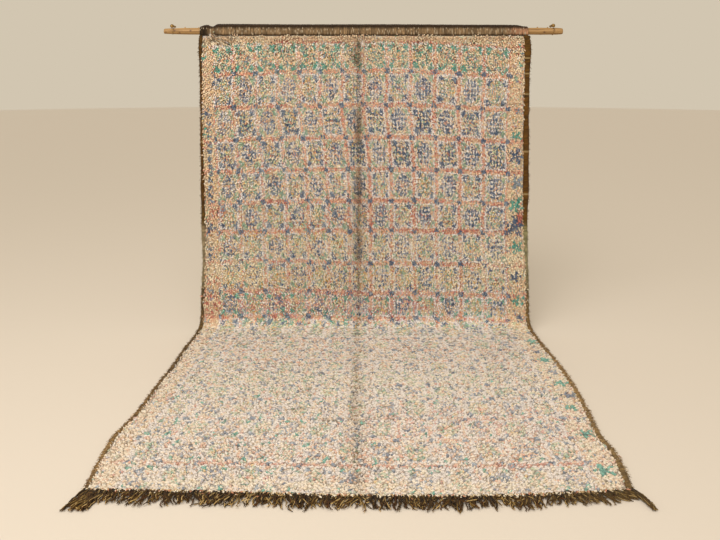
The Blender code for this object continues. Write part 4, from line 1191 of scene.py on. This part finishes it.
def buildWarpKnots(left, right):  # pale knots along the roots
    knots = fringeTwist["knots"]
    place = dice.uniform(left + 0.01, right - 0.01, knots)
    spread = np.where(dice.random(knots) < 0.7, 0.0022, 0.010)
    root = frontEdge(place) + xyz(0, -0.007 - abs(spread * dice.normal(size=knots)),
                                  dice.uniform(0.009, 0.0125, knots))
    lean = xyz(dice.normal(0, 0.004, knots), dice.normal(-0.004, 0.003, knots),
               dice.normal(0, 0.0015, knots))
    paths = np.stack([root - lean, root, root + lean], axis=1)
    radii = np.array(fringeTwist["knotRadii"]) * dice.uniform(0.7, 1.3, (knots, 1))
    return makeStrands(paths, radii, 5, pickShades(warpKnotShades, knots, 1.6))


def buildFringe(material):
    left, right = edgeRows[-1][1:3]
    parts = [buildLocks(left, right), buildStrays(left, right), buildStrip(left, right, 0),
             buildStrip(left, right, 1), buildWarpKnots(left, right)]
    return hairPiece("fringe_locks", parts, material)


# the pole and what holds it

poleWood = {
    "sides": 28, "startRadius": 0.02,
    # how its radius changes: place along the pole, radius
    "profile": (
        (-1.173, 0.0140), (-1.169, 0.0158), (-1.125, 0.0172), (-1.050, 0.0196), (-0.700, 0.0202),
        (-0.250, 0.0198), (0.200, 0.0203), (0.650, 0.0199), (1.000, 0.0204), (1.052, 0.0208),
        (1.130, 0.0200), (1.166, 0.0185), (1.173, 0.0165)),
    # dark knots: place along the pole, turn round it
    "knotPlaces": ((-1.160, -0.4), (-1.107, 0.2), (-1.078, -0.6), (-1.013, 0.1), (1.060, -0.3),
                   (1.118, 0.2)),
    "knotDepth": 0.0195, "knotReach": (0.003, 0.009), "cuts": (-1.00, 1.0, 0.09),
    "rings": (1.046, 1.131), "ringStep": 0.004, "ringSwell": 1.035,
    # cut twigs left on the top: radii at foot and top, depth in the wood, and place and height of each
    "stubRadii": (0.0052, 0.0028), "stubDepth": 0.006,
    "stubs": ((-1.049, 0.0055), (-0.968, 0.0040), (1.0235, 0.0055), (1.083, 0.0045)),
}
holders = {"left": (-1.1206, 0.0178), "right": (1.1118, 0.0204)}  # place, the pole's radius there
knobTurning = {
    "head": 0.011, "shank": 0.006, "reach": 0.090, "wire": 0.0012, "clearance": 0.0006, "opening": 28.0,
    # the shank's turning from the wall out: step, share of its radius
    "turned": ((0.004, 1.0), (0.058, 1.0), (0.004, 0.86), (0.003, 1.12)),
    # the round head: where its arc starts, how far it goes on, in half turns, and its steps
    "headArc": (0.16, 0.80, 8), "sides": 28, "wallGap": 0.0004,
}


def peeledWoodMaterial():
    # peeled eucalyptus pole, pale tan with darker grain streaks along it, dry and half matt
    material, tree, shader = startMaterial("peeled eucalyptus wood", 0.58)
    spot = addNode(tree, "ShaderNodeTexCoord")
    pulled = addNode(tree, "ShaderNodeMapping", {"Scale": (6.0, 220.0, 220.0)},
                     {"Vector": spot.outputs["Object"]})  # grain about 5 mm wide, 160 mm long
    grain = addNode(tree, "ShaderNodeTexNoise", {"Scale": 1.0, "Detail": 4.0, "Roughness": 0.6},
                    {"Vector": pulled.outputs["Vector"]})
    wide = addNode(tree, "ShaderNodeTexNoise", {"Scale": 7.0, "Detail": 2.0},
                   {"Vector": spot.outputs["Object"]})
    ramp = addNode(tree, "ShaderNodeValToRGB", links={"Fac": grain.outputs["Fac"]})
    for stop, place, shade in zip(ramp.color_ramp.elements, (0.30, 0.68), ("#6f4e24", "#b8925c")):
        stop.position, stop.color = place, linear(shade)
    tone = addNode(tree, "ShaderNodeMapRange", {"To Min": 0.82, "To Max": 1.12},
                   {"Value": wide.outputs["Fac"]})
    colour = addNode(tree, "ShaderNodeMix", {"data_type": "RGBA", "blend_type": "MULTIPLY", 0: 1.0},
                     {6: ramp.outputs["Color"], 7: tone.outputs["Result"]})
    depth, (near, far) = poleWood["knotDepth"], poleWood["knotReach"]
    for x, turn in poleWood["knotPlaces"]:
        heart = (x, poleY - depth * math.cos(turn), poleZ + depth * math.sin(turn))
        away = addNode(tree, "ShaderNodeVectorMath", {"operation": "DISTANCE", 1: heart},
                       {0: spot.outputs["Object"]})
        mask = addNode(tree, "ShaderNodeMapRange",
                       {"From Min": near, "From Max": far, "To Min": 0.85, "To Max": 0.0},
                       {"Value": away.outputs["Value"]})
        colour = addNode(tree, "ShaderNodeMix", {"data_type": "RGBA", 7: linear("#5a3a1e")},
                         {0: mask.outputs["Result"], 6: colour.outputs[2]})
    bump = addNode(tree, "ShaderNodeBump", {"Strength": 0.4, "Distance": 0.0012},
                   {"Height": grain.outputs["Fac"]})
    tree.links.new(colour.outputs[2], shader.inputs["Base Color"])
    tree.links.new(bump.outputs["Normal"], shader.inputs["Normal"])
    return material


def agedBrassMaterial():
    # turned brass knob and wire, browned with age, brighter where it is rubbed
    material, tree, shader = startMaterial("aged brass", 0.42, metallic=1.0)
    spot = addNode(tree, "ShaderNodeTexCoord")
    tarnish = addNode(tree, "ShaderNodeTexNoise", {"Scale": 160.0, "Detail": 4.0},
                      {"Vector": spot.outputs["Object"]})
    ramp = addNode(tree, "ShaderNodeValToRGB", links={"Fac": tarnish.outputs["Fac"]})
    for stop, place, shade in zip(ramp.color_ramp.elements, (0.35, 0.70), ("#6e5632", "#c4a266")):
        stop.position, stop.color = place, linear(shade)
    rough = addNode(tree, "ShaderNodeMapRange", {"To Min": 0.62, "To Max": 0.34},
                    {"Value": tarnish.outputs["Fac"]})
    tree.links.new(ramp.outputs["Color"], shader.inputs["Base Color"])
    tree.links.new(rough.outputs["Result"], shader.inputs["Roughness"])
    return material


def deselectAll():
    for thing in list(bpy.context.selected_objects):
        thing.select_set(False)


def settlePiece(name, material):  # the active object as a finished piece at the origin
    piece = bpy.context.object
    bpy.ops.object.transform_apply(location=True, rotation=True, scale=True)
    piece.name = piece.data.name = name
    piece.data.materials.clear()
    piece.data.materials.append(material)
    bpy.ops.object.shade_smooth_by_angle(angle=math.radians(40))
    return piece


def selectRing(piece, x, reach):  # in edit mode, the points within reach of a place along the pole
    shape = bmesh.from_edit_mesh(piece.data)
    for vertex in shape.verts:
        vertex.select_set(abs((piece.matrix_world @ vertex.co).x - x) < reach)
    shape.select_flush_mode()
    bmesh.update_edit_mesh(piece.data)


def buildPole(material):
    profile = poleWood["profile"]
    start, end, radius = profile[0][0], profile[-1][0], poleWood["startRadius"]
    deselectAll()
    bpy.ops.mesh.primitive_cylinder_add(
        vertices=poleWood["sides"], radius=radius, depth=end - start,
        location=((start + end) / 2, poleY, poleZ), rotation=(0, math.pi / 2, 0))
    pole = bpy.context.object
    bpy.ops.object.transform_apply(location=True, rotation=True, scale=True)
    bpy.ops.object.mode_set(mode="EDIT")
    extra = [x + poleWood["ringStep"] * k for x in poleWood["rings"] for k in (-1, 0, 1)]
    extra += list(np.arange(*poleWood["cuts"]))
    cuts = sorted([x for x, _ in profile[1:-1]] + extra)
    for x in cuts:
        bpy.ops.mesh.select_all(action="SELECT")
        bpy.ops.mesh.bisect(plane_co=(x, 0, 0), plane_no=(1, 0, 0))
    for x in [start] + cuts + [end]:
        selectRing(pole, x, 0.0008)
        size = float(readTable(profile, 1, np.array([x]))[0]) / radius
        if any(abs(x - ring) < 0.001 for ring in poleWood["rings"]):
            size *= poleWood["ringSwell"]
        bpy.ops.transform.resize(value=(1, size, size), center_override=(x, poleY, poleZ))
    bpy.ops.mesh.select_all(action="DESELECT")
    bpy.ops.object.mode_set(mode="OBJECT")
    smooth = pole.modifiers.new("smooth", "SUBSURF")
    smooth.levels = smooth.render_levels = 1
    bpy.ops.object.modifier_apply(modifier="smooth")
    stubs, depth = [], poleWood["stubDepth"]
    foot, head = poleWood["stubRadii"]
    for x, tall in poleWood["stubs"]:
        top = poleZ + float(readTable(profile, 1, np.array([x]))[0])
        deselectAll()
        bpy.ops.mesh.primitive_cone_add(vertices=8, radius1=foot, radius2=head, depth=tall + depth,
                                        location=(x, poleY, top + (tall - depth) / 2))
        stubs.append(bpy.context.object)
    for piece in stubs + [pole]:
        piece.select_set(True)
    bpy.context.view_layer.objects.active = pole
    bpy.ops.object.join()
    return settlePiece("pole_wood", material)


def buildKnob(side, material):
    x, poleRadius = holders[side]
    head, shank, reach = knobTurning["head"], knobTurning["shank"], knobTurning["reach"]
    wallY, z = rugShape["wallY"], poleZ + poleRadius + head + knobTurning["clearance"]
    deselectAll()
    bpy.ops.mesh.primitive_circle_add(
        vertices=knobTurning["sides"], radius=shank, fill_type="NGON",
        location=(x, wallY - knobTurning["wallGap"], z), rotation=(math.pi / 2, 0, 0))
    bpy.ops.object.mode_set(mode="EDIT")
    bpy.ops.mesh.select_all(action="SELECT")
    stations = [(shank, 0.0)]
    for step, share in knobTurning["turned"]:
        stations.append((shank * share, stations[-1][1] + step))
    arcStart, arcLength, arcSteps = knobTurning["headArc"]
    for k in range(1, arcSteps + 1):
        angle = math.pi * (arcStart + arcLength * k / arcSteps)
        stations.append((head * math.sin(angle), reach - head * (1 + math.cos(angle))))
    for (radius, place), (following, nextPlace) in zip(stations, stations[1:]):
        bpy.ops.mesh.extrude_region_move(
            TRANSFORM_OT_translate={"value": (0, place - nextPlace, 0)})
        size = following / radius
        bpy.ops.transform.resize(value=(size, 1, size),
                                 center_override=(x, wallY - nextPlace, z))
    bpy.ops.mesh.select_all(action="SELECT")
    bpy.ops.mesh.normals_make_consistent(inside=False)
    bpy.ops.object.mode_set(mode="OBJECT")
    return settlePiece("knob_%s_turned" % side, material)


def buildLoop(side, material):  # a wire loop under the pole and over the knob's shank
    x0, poleRadius = holders[side]
    wire, clearance, shank = knobTurning["wire"], knobTurning["clearance"], knobTurning["shank"]
    around, spread = poleRadius + wire + clearance, shank + wire + clearance
    opening = math.radians(knobTurning["opening"])
    share = np.linspace(0, 1, 41)
    angle = opening + (2 * math.pi - 2 * opening) * share
    under = xyz(x0 + spread * (1 - 2 * share), poleY - around * np.sin(angle),
                poleZ + around * np.cos(angle))
    rise = poleRadius + knobTurning["head"] + clearance
    share = np.linspace(0, 1, 14)[1:-1]
    over = xyz(x0 - spread * np.cos(math.pi * share),
               under[-1, 1] + (under[0, 1] - under[-1, 1]) * share,
               poleZ + rise + spread * np.sin(math.pi * share))
    path = np.concatenate([under, over, under[:1]])
    points, faces = makeTubes(path[None], np.full((1, len(path)), wire), 8)
    return newPiece("loop_%s_wire" % side, points, faces, material)


# the camera, the light and the floor

studio = {
    "camera": (-0.020, -3.764, 1.53), "lens": 40.0, "sensor": 36.0, "shift": -200 / 720,
    "floor": "#d8d0c6", "sky": "#d2c6b1", "light": "#fff8ef",
    "keyPlace": (-1.2, -2.6, 4.2), "keyTurn": (0.62, -0.22, 0), "keySize": (3.6, 2.8), "keyPower": 120,
    "sunTurn": (1.06, -0.30, 0), "sunPower": 1.42, "sunWidth": 40,
}


def buildStudio():
    deselectAll()
    bpy.ops.object.camera_add(location=studio["camera"], rotation=(math.pi / 2, 0, 0))
    camera = bpy.context.object
    camera.data.lens, camera.data.sensor_width = studio["lens"], studio["sensor"]
    camera.data.shift_y = studio["shift"]
    scene.camera = camera
    scene.view_settings.view_transform = "Standard"

    bpy.ops.mesh.primitive_circle_add(vertices=96, radius=30, fill_type="NGON",
                                      location=(0, 0, -0.0005))
    floor = bpy.context.object
    floor.name = "studio_floor"
    material, _, shader = startMaterial("pale plaster floor", 0.85)
    shader.inputs["Base Color"].default_value = linear(studio["floor"])
    floor.data.materials.append(material)

    bpy.ops.object.light_add(type="AREA", location=studio["keyPlace"], rotation=studio["keyTurn"])
    key = bpy.context.object.data
    key.shape, key.energy, key.color = "RECTANGLE", studio["keyPower"], linear(studio["light"])[:3]
    key.size, key.size_y = studio["keySize"]
    bpy.ops.object.light_add(type="SUN", rotation=studio["sunTurn"])
    sun = bpy.context.object.data
    sun.energy, sun.color = studio["sunPower"], linear(studio["light"])[:3]
    sun.angle = math.radians(studio["sunWidth"])
    world = bpy.data.worlds.new("pale studio")
    world.use_nodes = True
    sky = world.node_tree.nodes["Background"]
    sky.inputs["Color"].default_value, sky.inputs["Strength"].default_value = linear(studio["sky"]), 1.0
    scene.world = world


buildStudio()
print("studio set")

ground = buildGround()
print("ground cloth", len(ground.data.polygons))
pile = buildPile()
print("pile", sum(len(piece.data.polygons) for piece in pile))
windingHair = hairMaterial("overcast goat hair", 340.0)
selvedges = [buildSelvedge(side, windingHair) for side in ("left", "right")]
print("selvedges", [len(piece.data.polygons) for piece in selvedges])
headingWool = hairMaterial("flat-woven hair and wool heading", 520.0, 0.9)
heading = buildHeading(headingWool)
ribs = buildRibs(headingWool)
print("heading", len(heading.data.polygons), len(ribs.data.polygons))
fringe = buildFringe(hairMaterial("twisted goat hair fringe", 420.0))
print("fringe", len(fringe.data.polygons))
pole = buildPole(peeledWoodMaterial())
brass = agedBrassMaterial()
knobs = [buildKnob(side, brass) for side in ("left", "right")]
loops = [buildLoop(side, brass) for side in ("left", "right")]
print("pole and knobs")

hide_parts("rug_field")
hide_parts("heading")
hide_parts("fringe")
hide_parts("pole")
for piece, side in zip(selvedges, ("left", "right")):
    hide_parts("selvedge_" + side)
for piece, side in zip(knobs, ("left", "right")):
    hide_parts("knob_" + side)
for piece, side in zip(loops, ("left", "right")):
    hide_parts("loop_" + side)

finishes = {
    "wool_pile": [ground] + pile, "heading_weave": [heading, ribs], "binding_hair": selvedges,
    "fringe_hair": [fringe], "peeled_wood": [pole], "aged_brass": knobs + loops,
}
for slotName, pieces in finishes.items():
    for piece in pieces:
        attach(piece, "root")
